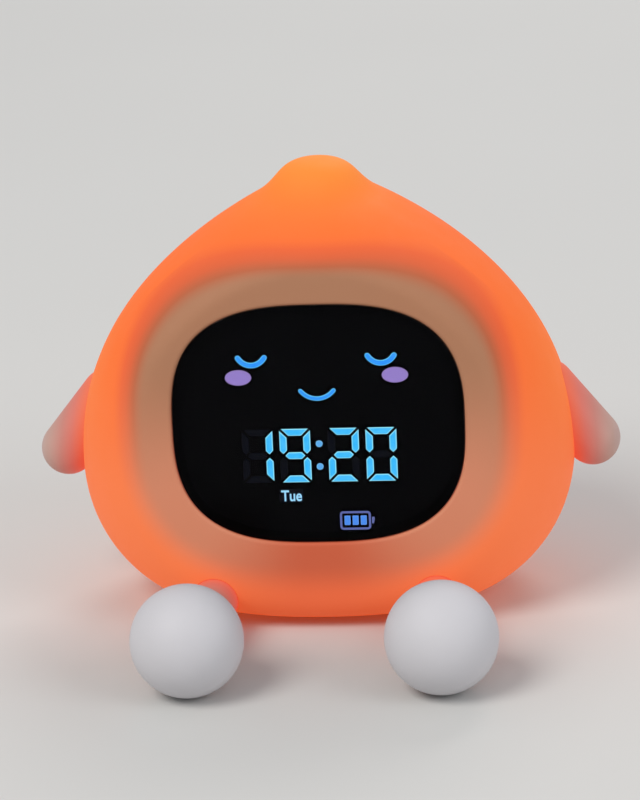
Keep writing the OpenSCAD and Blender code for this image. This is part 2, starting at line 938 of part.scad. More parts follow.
// Battery sign: four outline strokes with webs at the corners, a tab and three bars
module charge_cells(e) {
    w = charge_size[0] / 2;
    h = charge_size[1] / 2;
    t = charge_line;
    web = 0.6;
    translate(charge_at) {
        for (v = [-1, 1])
            translate([-w + web + e, v * (h - t / 2) - t / 2 + e])
                square([2 * (w - web - e), t - 2 * e]);
        for (u = [-1, 1])
            translate([u * (w - t / 2) - t / 2 + e, -h + t + web / 2 + e])
                square([t - 2 * e, 2 * (h - t - web / 2 - e)]);
        translate([w + 0.35 + e, -0.9 + e])
            square([0.6 - 2 * e, 1.8 - 2 * e]);
        for (k = [-1:1])
            translate([k * 2.1 - 0.8 + e, -1.3 + e])
                square([1.6 - 2 * e, 2.6 - 2 * e]);
    }
}

module time_cells(e) {
    translate([0, -digit_drop]) {
        for (x = digit_x)
            translate([x, 0])
                digit_cells(e);
        for (v = [-1, 1])
            translate([0, v * colon_rise])
                circle(d = colon_d - 2 * e);
    }
}

module icon_cells(e) {
    for (u = [-1, 1]) {
        translate([u * eye_pitch / 2, eye_rise - eye_bow])
            smile(eye_w - 2 * e, eye_sag, eye_stroke - 2 * e);
        translate([u * cheek_pitch / 2, cheek_rise])
            polygon(oval(cheek_w / 2 - e, cheek_h / 2 - e, 2, 24));
    }
    translate([0, mouth_rise - mouth_bow])
        smile(mouth_w - 2 * e, mouth_sag, mouth_stroke - 2 * e);
    translate(day_at - day_size / 2 + [e, e])
        square(day_size - [2 * e, 2 * e]);
    charge_cells(e);
}

board_inset = 1.6;
display_screw_x = lens_w / 2 - 6.5;
display_screw_edge = 2.4;
board_corner_z = (lens_h / 2 - board_inset)
    * pow(1 - pow(display_screw_x / (lens_w / 2 - board_inset), lens_square), 1 / lens_square);
display_screw_at = [display_screw_x, board_corner_z - display_screw_edge];

module display_mask() {
    color(dark)
        at_face()
            difference() {
                from_face(collar_y, mask_back)
                    lens_outline(-board_inset + 0.2);
                from_face(collar_y - 1, mask_back + 1) {
                    time_cells(0);
                    icon_cells(0);
                }
                four_corners()
                    along_y(display_screw_at[0], mask_back - 4, display_screw_at[1], pilot_r, 5);
            }
}

module four_corners() {
    for (u = [0, 1])
        for (v = [0, 1])
            mirror([u, 0, 0])
                mirror([0, 0, v])
                    children();
}

guide_back = mask_back - 1;

module segment_lights() {
    color(blue)
        at_face()
            from_face(collar_y, guide_back)
                time_cells(cell_gap);
}

module icon_lights() {
    color(lilac)
        at_face()
            from_face(collar_y, guide_back)
                icon_cells(cell_gap);
}

led_size = [1.6, 0.7, 0.8];

// One chip under every cell, soldered to the display board's front
module display_leds() {
    half = [(digit_w - stroke) / 2, (digit_h - stroke) / 2];
    color(white)
        at_face() {
            for (x = digit_x)
                for (p = [[0, -1], [0, 0], [0, 1], [-1, 0.5], [1, 0.5], [-1, -0.5], [1, -0.5]])
                    led(x + p[0] * half[0], p[1] * half[1] - digit_drop, p[0] == 0 ? 0 : 90);
            for (v = [-1, 1])
                led(0, v * colon_rise - digit_drop, 0);
            for (u = [-1, 1]) {
                led(u * eye_pitch / 2, eye_rise - eye_bow, 0);
                led(u * cheek_pitch / 2, cheek_rise, 0);
            }
            led(0, mouth_rise - mouth_bow, 0);
            led(day_at[0], day_at[1], 0);
            for (k = [-1:1])
                led(charge_at[0] + k * 2.1, charge_at[1], 90);
        }
}

module led(x, z, turn) {
    translate([x, mask_back - led_size[1] / 2, z])
        rotate([0, turn, 0])
            cube([led_size[0], led_size[1], led_size[2]], center = true);
}

module display_board() {
    color(board_green)
        at_face()
            difference() {
                from_face(mask_back, board_back)
                    lens_outline(-board_inset);
                four_corners()
                    along_y(display_screw_at[0], mask_back - 1, display_screw_at[1], pilot_r + screw_play, 4);
            }
}

module display_screws() {
    color(steel)
        at_face()
            four_corners()
                translate([display_screw_at[0], board_back, display_screw_at[1]])
                    rotate([90, 0, 0])
                        pan_screw(pilot_r, board_t + 3);
}

module driver_chip() {
    color(dark)
        at_face()
            translate([-4, board_back, -14])
                cube([8, 1.2, 8]);
}

// ---------- night light ----------

module light_board() {
    color(white)
        translate([0, column_y, column_top])
            difference() {
                cylinder(d = light_board_d, h = board_t);
                translate([0, 0, -1])
                    cylinder(r = pilot_r + screw_play, h = board_t + 2);
            }
}

module light_leds() {
    count = 8;
    size = 5;
    color([1, 0.85, 0.5])
        translate([0, column_y, column_top + board_t])
            for (i = [0:count - 1])
                rotate(360 * i / count)
                    translate([light_board_d / 2 - size - 0.5, -size / 2, 0])
                        difference() {
                            cube([size, size, 1.6]);
                            translate([size / 2, size / 2, 1])
                                cylinder(r1 = 1.5, r2 = 2, h = 1);
                        }
}

module light_screw() {
    color(steel)
        translate([0, column_y, column_top + board_t])
            rotate([180, 0, 0])
                pan_screw(pilot_r, light_screw_len);
}

// ---------- battery ----------

strap_x = 13;
strap_w = 10;
strap_t = 0.8;
strap_foot_w = 7;
strap_foot_y = cell_d / 2 + 4;

module battery_cell() {
    cap_r = 3;
    color([0.25, 0.5, 0.75])
        translate([-cell_len / 2, cell_y, cell_z])
            rotate([0, 90, 0])
                rotate_extrude()
                    polygon([[0, 0], [cell_d / 2 - 0.6, 0], [cell_d / 2, 0.6], [cell_d / 2, cell_len - 1.6],
                             [cell_d / 2 - 0.6, cell_len - 1], [cap_r, cell_len - 1], [cap_r, cell_len],
                             [0, cell_len]]);
}

// Sheet strap over the cell, screwed down on both sides
module battery_strap() {
    r = cell_d / 2 + seat_gap;
    foot_top = deck_z + strap_boss_h;
    color(steel)
        difference() {
            union() {
                translate([strap_x - strap_w / 2, cell_y, cell_z])
                    rotate([0, 90, 0])
                        cylinder(r = r + strap_t, h = strap_w);
                for (side = [-1, 1])
                    strap_side(side, r, foot_top);
            }
            translate([strap_x - strap_w / 2 - 1, cell_y, cell_z])
                rotate([0, 90, 0])
                    cylinder(r = r, h = strap_w + 2);
            translate([strap_x - strap_w, cell_y - r, 0])
                cube([2 * strap_w, 2 * r, cell_z]);
            translate([strap_x - strap_w, cell_y - r - strap_t - eps, 0])
                cube([2 * strap_w, 2 * (r + strap_t + eps), foot_top]);
            for (side = [-1, 1])
                translate([strap_x, cell_y + side * strap_foot_y, foot_top - 1])
                    cylinder(r = pilot_r + screw_play, h = 4);
        }
}

module strap_side(side, r, foot_top) {
    inner = side > 0 ? r : -r - strap_t;
    foot = side > 0 ? r : -r - strap_foot_w;
    translate([strap_x - strap_w / 2, cell_y + inner, foot_top])
        cube([strap_w, strap_t, cell_z - foot_top]);
    translate([strap_x - strap_w / 2, cell_y + foot, foot_top])
        cube([strap_w, strap_foot_w, strap_t]);
}

module strap_screws() {
    color(steel)
        for (side = [-1, 1])
            translate([strap_x, cell_y + side * strap_foot_y, deck_z + strap_boss_h + strap_t])
                rotate([180, 0, 0])
                    pan_screw(pilot_r, strap_screw_len);
}

// ---------- main board ----------

module main_board() {
    color(board_green)
        difference() {
            translate([-board_half_w, board_front, board_low])
                cube([2 * board_half_w, board_t, board_high - board_low]);
            for (x = [-board_screw_x, board_screw_x])
                for (z = board_screw_z)
                    along_y(x, board_front - 1, z, pilot_r + screw_play, board_t + 2);
        }
}

chip = [10, 1.4, 9];
chip_x = -12;
small_chip = [6, 1.1, 5];
small_chip_x = 4;
coil_x = 14;
coil_r = 2;
coil_h = 2.4;
coil_rise = 3;
chip_gap = 2;
chip_z = cell_z + cell_d / 2 + chip_gap;

module main_chips() {
    color(dark) {
        translate([chip_x, board_front - chip[1], chip_z])
            cube(chip);
        translate([small_chip_x, board_front - small_chip[1], chip_z])
            cube(small_chip);
        along_y(coil_x, board_front - coil_h, chip_z + coil_rise, coil_r, coil_h);
    }
}

module board_screws() {
    color(steel)
        for (x = [-board_screw_x, board_screw_x])
            for (z = board_screw_z)
                translate([x, board_rear, z])
                    rotate([90, 0, 0])
                        pan_screw(pilot_r, board_t + board_screw_grip);
}

socket_w = 9;
socket_h = 3.3;

module slot_outline(w, h) {
    for (u = [-1, 1])
        translate([u * (w - h) / 2, 0])
            circle(d = h);
    square([w - h, h], center = true);
}

// Power inlet: a rounded steel shell with its contact tongue
module usb_socket() {
    shell = 0.3;
    color(steel)
        translate([socket_x, 0, socket_z]) {
            difference() {
                rear_prism(board_rear, panel_face - 0.4)
                    slot_outline(socket_w, socket_h);
                rear_prism(board_rear + 1, panel_face + 1)
                    slot_outline(socket_w - 2 * shell, socket_h - 2 * shell);
            }
            rear_prism(board_rear + 1 - eps, panel_face - 1.2)
                square([6.4, 0.7], center = true);
        }
}

button_x = [for (k = [-1.5:1:1.5]) k * button_pitch];
tact_w = 6;
plunger_r = 1.7;
plunger_h = 0.9;

module tact_switches() {
    color(dark)
        for (x = button_x) {
            translate([x - tact_w / 2, board_rear, button_z - tact_w / 2])
                cube([tact_w, switch_h - plunger_h, tact_w]);
            along_y(x, board_rear + switch_h - plunger_h - eps, button_z, plunger_r, plunger_h + eps);
        }
}

knob_w = 4;
knob_h = 3;
knob_plate = [10, 5];
knob_plate_t = 1;
knob_back = panel_inside - slide_gap - knob_plate_t;
slider_w = 10;
slider_h = 4.4;
slider_gap = 0.3;

module power_switch() {
    color(steel)
        translate([knob_x + (knob_travel - slider_w) / 2, board_rear, socket_z - slider_h / 2])
            cube([slider_w, knob_back - slider_gap - board_rear, slider_h]);
}

// ---------- rear panel and controls ----------

module rear_panel() {
    color(white)
        difference() {
            translate([0, 0, panel_mid]) {
                rear_prism(panel_inside, panel_face)
                    panel_outline(0);
                rear_prism(panel_inside, panel_inside + panel_flange_t)
                    panel_outline(panel_flange_grow);
            }
            speaker_pocket();
            for (x = button_x)
                along_y(x, panel_inside - 1, button_z, button_d / 2 + slide_gap, panel_t + 2);
            translate([socket_x, 0, socket_z])
                rear_prism(panel_inside - 1, panel_face + 1)
                    slot_outline(socket_w + 4 * seat_gap, socket_h + 4 * seat_gap);
            translate([knob_x - knob_w / 2 - slide_gap, panel_inside - 1, socket_z - knob_h / 2 - slide_gap])
                cube([knob_w + knob_travel + 2 * slide_gap, panel_t + 2, knob_h + 2 * slide_gap]);
            grille_holes();
            panel_screw_holes();
        }
}

speaker_seat = 1.6;
speaker_rim_t = 2.4;
speaker_rim_w = 0.6;
cone_rise = 1.4;
basket_back = 3.4;
magnet_back = 6;
speaker_ring_t = 1.6;
speaker_ring_w = 2;
grille_edge = 2;

// Shallow round seat for the speaker's rim
module speaker_pocket() {
    along_y(0, panel_inside - eps, grille_z, speaker_d / 2 + seat_gap, speaker_seat);
}

module grille_holes() {
    pitch = grille_hole_d * 2;
    for (i = [-3:3])
        for (j = [-3:3])
            let (x = (i + (j % 2 == 0 ? 0 : 0.5)) * pitch, z = j * pitch * sin(60))
                if (norm([x, z]) < speaker_d / 2 - grille_edge)
                    along_y(x, panel_inside, grille_z + z, grille_hole_d / 2, panel_t + 1);
}

panel_screw_r = 1.1;

module panel_screw_holes() {
    for (x = [-screw_x, screw_x])
        for (z = [screw_low, screw_high]) {
            along_y(x, panel_inside - 1, z, panel_screw_r + seat_gap, panel_t + 2);
            along_y(x, panel_face - head_sink, z, 2 * panel_screw_r + seat_gap, head_sink + 1);
        }
}

module panel_screws() {
    color(steel)
        for (x = [-screw_x, screw_x])
            for (z = [screw_low, screw_high])
                translate([x, panel_face - head_sink, z])
                    rotate([90, 0, 0])
                        pan_screw(panel_screw_r, panel_screw_len);
}

module speaker() {
    r = speaker_d / 2;
    color(dark)
        translate([0, panel_inside + speaker_seat - eps, grille_z])
            rotate([90, 0, 0])
                rotate_extrude()
                    polygon([[0, cone_rise * 0.7], [r * 0.45, cone_rise], [r * 0.8, cone_rise * 0.2],
                             [r - speaker_rim_w, cone_rise * 0.2], [r - speaker_rim_w, 0], [r, 0],
                             [r, speaker_rim_t], [r * 0.68, speaker_rim_t], [r * 0.62, basket_back],
                             [r * 0.62, magnet_back], [0, magnet_back]]);
}

// Snap ring that holds the speaker's rim to the panel
module speaker_ring() {
    r = speaker_d / 2;
    rim_back = panel_inside + speaker_seat - speaker_rim_t - slide_gap;
    color(white)
        difference() {
            along_y(0, panel_inside - speaker_ring_t, grille_z, r + speaker_ring_w, speaker_ring_t);
            along_y(0, panel_inside - 2 * speaker_ring_t, grille_z, r * 0.72, 3 * speaker_ring_t);
            along_y(0, rim_back, grille_z, r + seat_gap, speaker_rim_t);
        }
}

module round_button(index) {
    r = button_d / 2;
    color([0.85, 0.84, 0.82])
        translate([button_x[index], button_end, button_z])
            rotate([-90, 0, 0])
                rotate_extrude()
                    polygon([[0, 0], [r + 0.9, 0], [r + 0.9, button_flange_t], [r, button_flange_t],
                             [r, control_tip - button_end - 0.5], [r - 0.5, control_tip - button_end],
                             [r * 0.5, control_tip - button_end - 0.2],
                             [0, control_tip - button_end - 0.3]]);
}

module mode_button() {
    round_button(0);
}

module minus_button() {
    round_button(1);
}

module plus_button() {
    round_button(2);
}

module light_button() {
    round_button(3);
}

// Knob of the power switch: a grip on a plate that keeps the slot covered
module power_knob() {
    color(dark)
        difference() {
            union() {
                translate([knob_x - knob_w / 2, knob_back, socket_z - knob_h / 2])
                    cube([knob_w, control_tip - knob_back, knob_h]);
                translate([knob_x - knob_plate[0] / 2, knob_back, socket_z - knob_plate[1] / 2])
                    cube([knob_plate[0], knob_plate_t, knob_plate[1]]);
            }
            for (k = [-1:1])
                translate([knob_x + k * 1.2 - 0.2, control_tip - 0.4, socket_z - knob_h])
                    cube([0.4, 1, 2 * knob_h]);
        }
}

shade();
left_arm();
right_arm();
left_leg();
right_leg();
base_pad();
base_plate();
base_screws();
chassis();
face_frame();
frame_screws();
display_lens();
lens_tape();
display_mask();
segment_lights();
icon_lights();
display_leds();
display_board();
display_screws();
driver_chip();
light_board();
light_leds();
light_screw();
battery_cell();
battery_strap();
strap_screws();
main_board();
main_chips();
board_screws();
usb_socket();
tact_switches();
power_switch();
rear_panel();
panel_screws();
speaker();
speaker_ring();
mode_button();
minus_button();
plus_button();
light_button();
power_knob();
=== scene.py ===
import math

import bmesh
import bpy
import numpy as np
from mathutils import Matrix, Vector


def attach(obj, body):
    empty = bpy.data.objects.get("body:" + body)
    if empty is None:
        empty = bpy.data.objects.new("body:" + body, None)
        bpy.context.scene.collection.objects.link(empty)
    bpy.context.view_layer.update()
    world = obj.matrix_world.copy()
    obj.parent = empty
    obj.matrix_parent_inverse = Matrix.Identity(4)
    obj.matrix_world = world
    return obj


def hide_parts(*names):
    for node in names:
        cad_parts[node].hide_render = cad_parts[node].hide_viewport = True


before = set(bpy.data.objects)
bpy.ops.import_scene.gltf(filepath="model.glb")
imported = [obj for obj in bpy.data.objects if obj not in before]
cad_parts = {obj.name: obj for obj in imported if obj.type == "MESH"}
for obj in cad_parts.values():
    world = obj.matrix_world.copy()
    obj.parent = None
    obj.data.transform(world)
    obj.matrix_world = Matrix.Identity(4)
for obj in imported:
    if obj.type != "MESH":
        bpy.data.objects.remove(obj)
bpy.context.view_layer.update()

MM = 0.001

# ---------- sizes of the object, in millimetres, as in the solids ----------
# body
BODY_W, BODY_H, WIDEST_H = 131.0, 118.0, 39.0
FACE_DEPTH, BACK_DEPTH = 34.0, 35.0
BASE_W, BASE_FRONT, BASE_BACK, BASE_LIFT, BASE_RIM, WALL = 70.4, 26.0, 30.0, 1.0, 1.2, 2.4
SHOULDER_SLOPE, TIP_W, TIP_H, TIP_FLAT_W = 29.6, 34.0, 9.6, 22.0
ROUND, BASE_SQUARE, FLANK_SQUARE = 2, 2.3, 2.5
# display
FACE_H, FACE_TILT = 56.1, 3.0
LENS_W, LENS_H, LENS_SQUARE, LENS_T, LENS_RECESS, TAPE_T = 75.0, 63.0, 2.83, 2.0, 0.3, 0.2
DIGIT_H, DIGIT_W, STROKE, MITRE = 14.4, 8.0, 1.9, 0.45
DIGIT_PITCH, PAIR_PITCH, DIGIT_DROP = 9.7, 22.2, 8.5
COLON_D, COLON_RISE = 1.85, 3.05
EYE_PITCH, EYE_RISE, EYE_BOW, EYE_W, EYE_SAG, EYE_STROKE = 33.2, 16.7, 1.0, 8.3, 2.0, 1.5
CHEEK_PITCH, CHEEK_RISE, CHEEK_W, CHEEK_H = 40.2, 12.5, 6.9, 4.2
MOUTH_RISE, MOUTH_BOW, MOUTH_W, MOUTH_SAG, MOUTH_STROKE = 7.4, 0.8, 9.7, 2.1, 1.2
DAY_AT, DAY_CAP_H, DAY_W, DAY_WINDOW = (-7.7, -19.3), 2.9, 5.3, (6.4, 3.8)
CHARGE_AT, CHARGE_W, CHARGE_H, CHARGE_LINE = (8.6, -26.2), 8.0, 5.0, 0.55
BAR_W, BAR_H, BAR_PITCH = 1.6, 2.6, 2.1
# arms and legs
LEG_PITCH, LEG_REACH, FOOT_D, LEG_D, LEG_FILLET = 63.3, 75.0, 28.5, 12.0, 4.0
LEG_ROOT_PITCH, LEG_ROOT_H, LEG_END_Y, PEG_R, PEG_ROOT = 56.4, 7.4, 25.0, 3.0, 2.2
ARM_D, SHOULDER_PITCH, SHOULDER_H, HAND_PITCH, HAND_H = 14.6, 117.2, 54.2, 140.6, 39.7
# rear panel and seats
PANEL_W, PANEL_H, PANEL_MID, PANEL_R, PANEL_GAP = 62.0, 48.0, 44.0, 12.0, 0.25
SEAT_GAP, CELL_GAP, CELL_PROUD, CELL_T = 0.15, 0.06, 0.04, 5.0
LENS_FLANGE, PANEL_FLANGE, BASE_FLANGE = 2.0, 3.5, 5.0
WINDOW_EASE, REAR_EASE = 0.9, 0.7
COLLAR_Y = LENS_RECESS + LENS_T + TAPE_T
LIP_BACK = COLLAR_Y - SEAT_GAP
CELL_FRONT, GUIDE_BACK = COLLAR_Y - CELL_PROUD, COLLAR_Y + CELL_T
REAR_LIP = BACK_DEPTH - WALL
LIP_TOP = BASE_LIFT + WALL
PAD_T = BASE_LIFT + 0.4

# ---------- the silicone body's surface ----------
UNDER_SLOPE, UNDER_LEN, UNDER_BACK, LOWER_BULGE, UPPER_BULGE = 3.0, 14.0, 0.6, 22.5, 21.5
SHOULDER_LEN, TIP_BLEND, FLAT_BLEND, FRONT_SWELL, BACK_SWELL = 46.0, 9.0, 3.0, 10.0, 6.0
under_dx = UNDER_LEN * math.cos(math.radians(UNDER_SLOPE))
under_dz = UNDER_LEN * math.sin(math.radians(UNDER_SLOPE))
slope_c, slope_s = math.cos(math.radians(SHOULDER_SLOPE)), math.sin(math.radians(SHOULDER_SLOPE))
tip_root_h = BODY_H - TIP_H
shoulder_r = TIP_W / 2 + SHOULDER_LEN * slope_c
shoulder_z = tip_root_h - SHOULDER_LEN * slope_s
tip_r = TIP_W / 2 - TIP_BLEND * slope_c
flank_front, flank_back = FACE_DEPTH + FRONT_SWELL, BACK_DEPTH + BACK_SWELL


def round_station(r, z, square=ROUND):
    return [r, r, r, z, square, ROUND]


def flank_station(z):
    return [BODY_W / 2, flank_front, flank_back, z, FLANK_SQUARE, ROUND]


# Three Bezier runs, underside to widest, widest to tip, and tip. Each point is half width,
# depth in front, depth behind, height, and squareness of the front and back halves.
STATIONS = [
    [[BASE_W / 2, BASE_FRONT, BASE_BACK, BASE_LIFT, BASE_SQUARE, ROUND],
     [BASE_W / 2 + under_dx, BASE_FRONT + under_dx, BASE_BACK + under_dx * UNDER_BACK,
      BASE_LIFT + under_dz, BASE_SQUARE, ROUND],
     flank_station(WIDEST_H - LOWER_BULGE), flank_station(WIDEST_H)],
    [flank_station(WIDEST_H), flank_station(WIDEST_H + UPPER_BULGE),
     round_station(shoulder_r, shoulder_z, BASE_SQUARE), round_station(TIP_W / 2, tip_root_h)],
    [round_station(TIP_W / 2, tip_root_h), round_station(tip_r, tip_root_h + TIP_BLEND * slope_s),
     round_station(TIP_FLAT_W / 2, BODY_H), round_station(0, BODY_H)],
]
SKIN_TOP, HOLLOW_TOP = 2.985, 2.93


def station(s):
    """The skin's values at s, from 0 at the underside to 3 at the top."""
    k = min(int(s), 2)
    t = s - k
    w = np.array([(1 - t) ** 3, 3 * t * (1 - t) ** 2, 3 * t * t * (1 - t), t ** 3])
    return w @ np.array(STATIONS[k], float)


def soft_min(a, b, k):
    """The lesser of a and b, rounded where they are within k of each other."""
    h = np.maximum(k - np.abs(a - b), 0) / k
    return np.minimum(a, b) - h * h * k / 4


def skin(s, angles):
    """Points of the outer skin at s, round the body."""
    q = station(s)
    c, t = np.cos(angles), np.sin(angles)
    square = np.where(t < 0, q[4], q[5])
    m = (np.abs(c) ** square + np.abs(t) ** square) ** (-1 / square)
    y = np.where(t < 0, q[1], q[2]) * t * m
    face = FACE_DEPTH - (q[3] - FACE_H) * math.tan(math.radians(FACE_TILT))
    y = np.where(t < 0, -soft_min(-y, face, FLAT_BLEND), soft_min(y, BACK_DEPTH, FLAT_BLEND))
    return np.stack([q[0] * c * m, y, np.full_like(c, q[3])], axis=-1)


def skin_rows(rows, columns, inset, last):
    """Rings of the skin, moved in along its normals by inset."""
    angles = np.arange(columns) * 2 * math.pi / columns
    out = []
    for s in rows:
        p = skin(s, angles)
        up = skin(min(s + 0.01, last), angles) - skin(max(s - 0.01, 0), angles)
        side = skin(s, angles + 0.01) - skin(s, angles - 0.01)
        n = np.cross(side, up)
        n /= np.linalg.norm(n, axis=1)[:, None] + 1e-12
        out.append(p - inset * n)
    return out


# ---------- mesh tools ----------
def new_object(name, mesh):
    obj = bpy.data.objects.new(name, mesh)
    bpy.context.scene.collection.objects.link(obj)
    return obj


def mesh_object(name, points, faces):
    mesh = bpy.data.meshes.new(name)
    mesh.from_pydata([tuple(p) for p in np.asarray(points) * MM], [], faces)
    mesh.validate()
    bm = bmesh.new()
    bm.from_mesh(mesh)
    bmesh.ops.recalc_face_normals(bm, faces=bm.faces)
    bm.to_mesh(mesh)
    bm.free()
    return new_object(name, mesh)


def loft(name, rings):
    """Closed solid through rings of points, with a fan at each end."""
    n, last = len(rings[0]), len(rings) - 1
    points = np.concatenate(list(rings) + [[np.mean(rings[0], axis=0)], [np.mean(rings[-1], axis=0)]])
    bottom, top = n * (last + 1), n * (last + 1) + 1
    faces = [(i * n + j, i * n + (j + 1) % n, (i + 1) * n + (j + 1) % n, (i + 1) * n + j)
             for i in range(last) for j in range(n)]
    faces += [(bottom, (j + 1) % n, j) for j in range(n)]
    faces += [(top, last * n + j, last * n + (j + 1) % n) for j in range(n)]
    return mesh_object(name, points, faces)


def smooth(obj, angle=32):
    obj.data.shade_smooth()
    obj.data.set_sharp_from_angle(angle=math.radians(angle))
    return obj


def carve(obj, cutters):
    """Cut the closed cutters out of obj and remove them."""
    for cutter in cutters:
        cut = obj.modifiers.new("cut", "BOOLEAN")
        cut.operation, cut.solver, cut.object = "DIFFERENCE", "MANIFOLD", cutter
    graph = bpy.context.evaluated_depsgraph_get()
    mesh = bpy.data.meshes.new_from_object(obj.evaluated_get(graph))
    obj.modifiers.clear()
    obj.data = mesh
    for cutter in cutters:
        bpy.data.objects.remove(cutter)


def oval(a, b, square, steps=160):
    """Superellipse with half axes a and b."""
    t = np.arange(steps) * 2 * math.pi / steps
    c, s = np.cos(t), np.sin(t)
    m = (np.abs(c / a) ** square + np.abs(s / b) ** square) ** (-1 / square)
    return np.stack([c * m, s * m], axis=1)


def lens_outline(grow, steps=160):
    return oval(LENS_W / 2 + grow, LENS_H / 2 + grow, LENS_SQUARE, steps)


def base_outline(grow):
    """Plan of the base's opening, deeper behind than in front."""
    t = np.arange(144) * 2 * math.pi / 144
    c, s = np.cos(t), np.sin(t)
    w = BASE_W / 2 - BASE_RIM + grow
    d = np.where(s < 0, BASE_FRONT, BASE_BACK) - BASE_RIM + grow
    m = (np.abs(c / w) ** BASE_SQUARE + np.abs(s / d) ** BASE_SQUARE) ** (-1 / BASE_SQUARE)
    return np.stack([c * m, s * m], axis=1)


def rounded(w, h, r, at, steps=6):
    """Rectangle w by h about at, with corner radius r."""
    out = []
    for q in range(4):
        sx, sz = (1 if q in (0, 3) else -1), (1 if q < 2 else -1)
        for i in range(steps + 1):
            a = math.radians(90 * q + 90 * i / steps)
            out.append((at[0] + sx * (w / 2 - r) + r * math.cos(a),
                        at[1] + sz * (h / 2 - r) + r * math.sin(a)))
    return np.array(out)


def panel_outline(grow):
    return rounded(PANEL_W + 2 * grow, PANEL_H + 2 * grow, PANEL_R + grow, (0, PANEL_MID), 12)


def eased(edge, grow, ease, side):
    """Profile points (depth, grow) of a rolled edge, with side -1 at a front edge and 1 at a back one."""
    turns = np.radians(90 * np.arange(9) / 8)
    turns = turns[1:] if side < 0 else turns[-2::-1]
    return [(edge - side * ease * (1 - math.cos(t)), grow + ease * (1 - math.sin(t))) for t in turns]


def at_face(x, y, z):
    """Face frame to the object's frame: x right, y into the body, z up."""
    c, s = math.cos(math.radians(FACE_TILT)), math.sin(math.radians(FACE_TILT))
    x, y, z = np.broadcast_arrays(np.asarray(x, float), np.asarray(y, float), np.asarray(z, float))
    return np.stack([x, y * c + z * s - FACE_DEPTH, -y * s + z * c + FACE_H], axis=-1)


def along_axis(start, end, profile, steps=96):
    """Rings about the line from start, through profile points (radius, distance)."""
    start, end = np.array(start, float), np.array(end, float)
    w = (end - start) / np.linalg.norm(end - start)
    u = np.cross(w, [0, 0, 1.0])
    u /= np.linalg.norm(u)
    v = np.cross(w, u)
    t = np.arange(steps)[:, None] * 2 * math.pi / steps
    return [start + w * d + r * (np.cos(t) * u + np.sin(t) * v) for r, d in profile]


def set_value(obj, name, values):
    """Number at each point of the mesh, for the materials."""
    layer = obj.data.attributes.new(name, "FLOAT", "POINT")
    layer.data.foreach_set("value", np.asarray(values, np.float32))


def coords(obj):
    """The mesh's points in millimetres."""
    co = np.empty(len(obj.data.vertices) * 3, np.float32)
    obj.data.vertices.foreach_get("co", co)
    return co.reshape(-1, 3).astype(float) / MM


def ramp(x, low, high):
    """Smooth step from 0 at low to 1 at high."""
    t = np.clip((x - low) / (high - low), 0, 1)
    return t * t * (3 - 2 * t)


# ---------- materials ----------
SKIN_GRAIN, PLASTIC_GRAIN = 2400, 1500


class Finish:
    """A node material with short calls for the nodes used here."""

    def __init__(self, name):
        self.material = bpy.data.materials.new(name)
        self.material.use_nodes = True
        self.tree = self.material.node_tree
        self.shader = self.tree.nodes["Principled BSDF"]
        self.place = self.tree.nodes.new("ShaderNodeTexCoord").outputs["Object"]

    def set(self, **values):
        for key, value in values.items():
            socket = self.shader.inputs[key.replace("_", " ")]
            if hasattr(value, "is_output"):
                self.tree.links.new(value, socket)
            elif isinstance(value, (tuple, list)):
                socket.default_value = (*value, 1.0)
            else:
                socket.default_value = value

    def noise(self, scale, detail=3.0):
        n = self.tree.nodes.new("ShaderNodeTexNoise")
        n.inputs["Scale"].default_value = scale
        n.inputs["Detail"].default_value = detail
        n.inputs["Roughness"].default_value = 0.55
        self.tree.links.new(self.place, n.inputs["Vector"])
        return n.outputs["Fac"]

    def value(self, name):
        n = self.tree.nodes.new("ShaderNodeAttribute")
        n.attribute_name = name
        return n.outputs["Fac"]

    def spread(self, fac, low, high, out_low, out_high):
        """fac taken from low..high to out_low..out_high."""
        n = self.tree.nodes.new("ShaderNodeMapRange")
        for i, v in enumerate((low, high, out_low, out_high), 1):
            n.inputs[i].default_value = v
        self.tree.links.new(fac, n.inputs[0])
        return n.outputs[0]

    def mix(self, fac, a, b):
        n = self.tree.nodes.new("ShaderNodeMix")
        n.data_type = "RGBA"
        self.tree.links.new(fac, n.inputs["Factor"])
        for key, v in (("A", a), ("B", b)):
            socket = [i for i in n.inputs if i.name == key and i.type == "RGBA"][0]
            if hasattr(v, "is_output"):
                self.tree.links.new(v, socket)
            else:
                socket.default_value = (*v, 1.0)
        return [o for o in n.outputs if o.type == "RGBA"][0]

    def scale(self, fac, *stops):
        """Colour that runs through the stops (position, colour) as fac rises."""
        n = self.tree.nodes.new("ShaderNodeValToRGB")
        points = n.color_ramp.elements
        while len(points) < len(stops):
            points.new(0.5)
        for point, (at, colour) in zip(points, stops):
            point.position, point.color = at, (*colour, 1.0)
        self.tree.links.new(fac, n.inputs["Fac"])
        return n.outputs["Color"]

    def bump(self, height, distance):
        n = self.tree.nodes.new("ShaderNodeBump")
        n.inputs["Distance"].default_value = distance
        n.inputs["Strength"].default_value = 1.0
        self.tree.links.new(height, n.inputs["Height"])
        self.tree.links.new(n.outputs["Normal"], self.shader.inputs["Normal"])
        return self


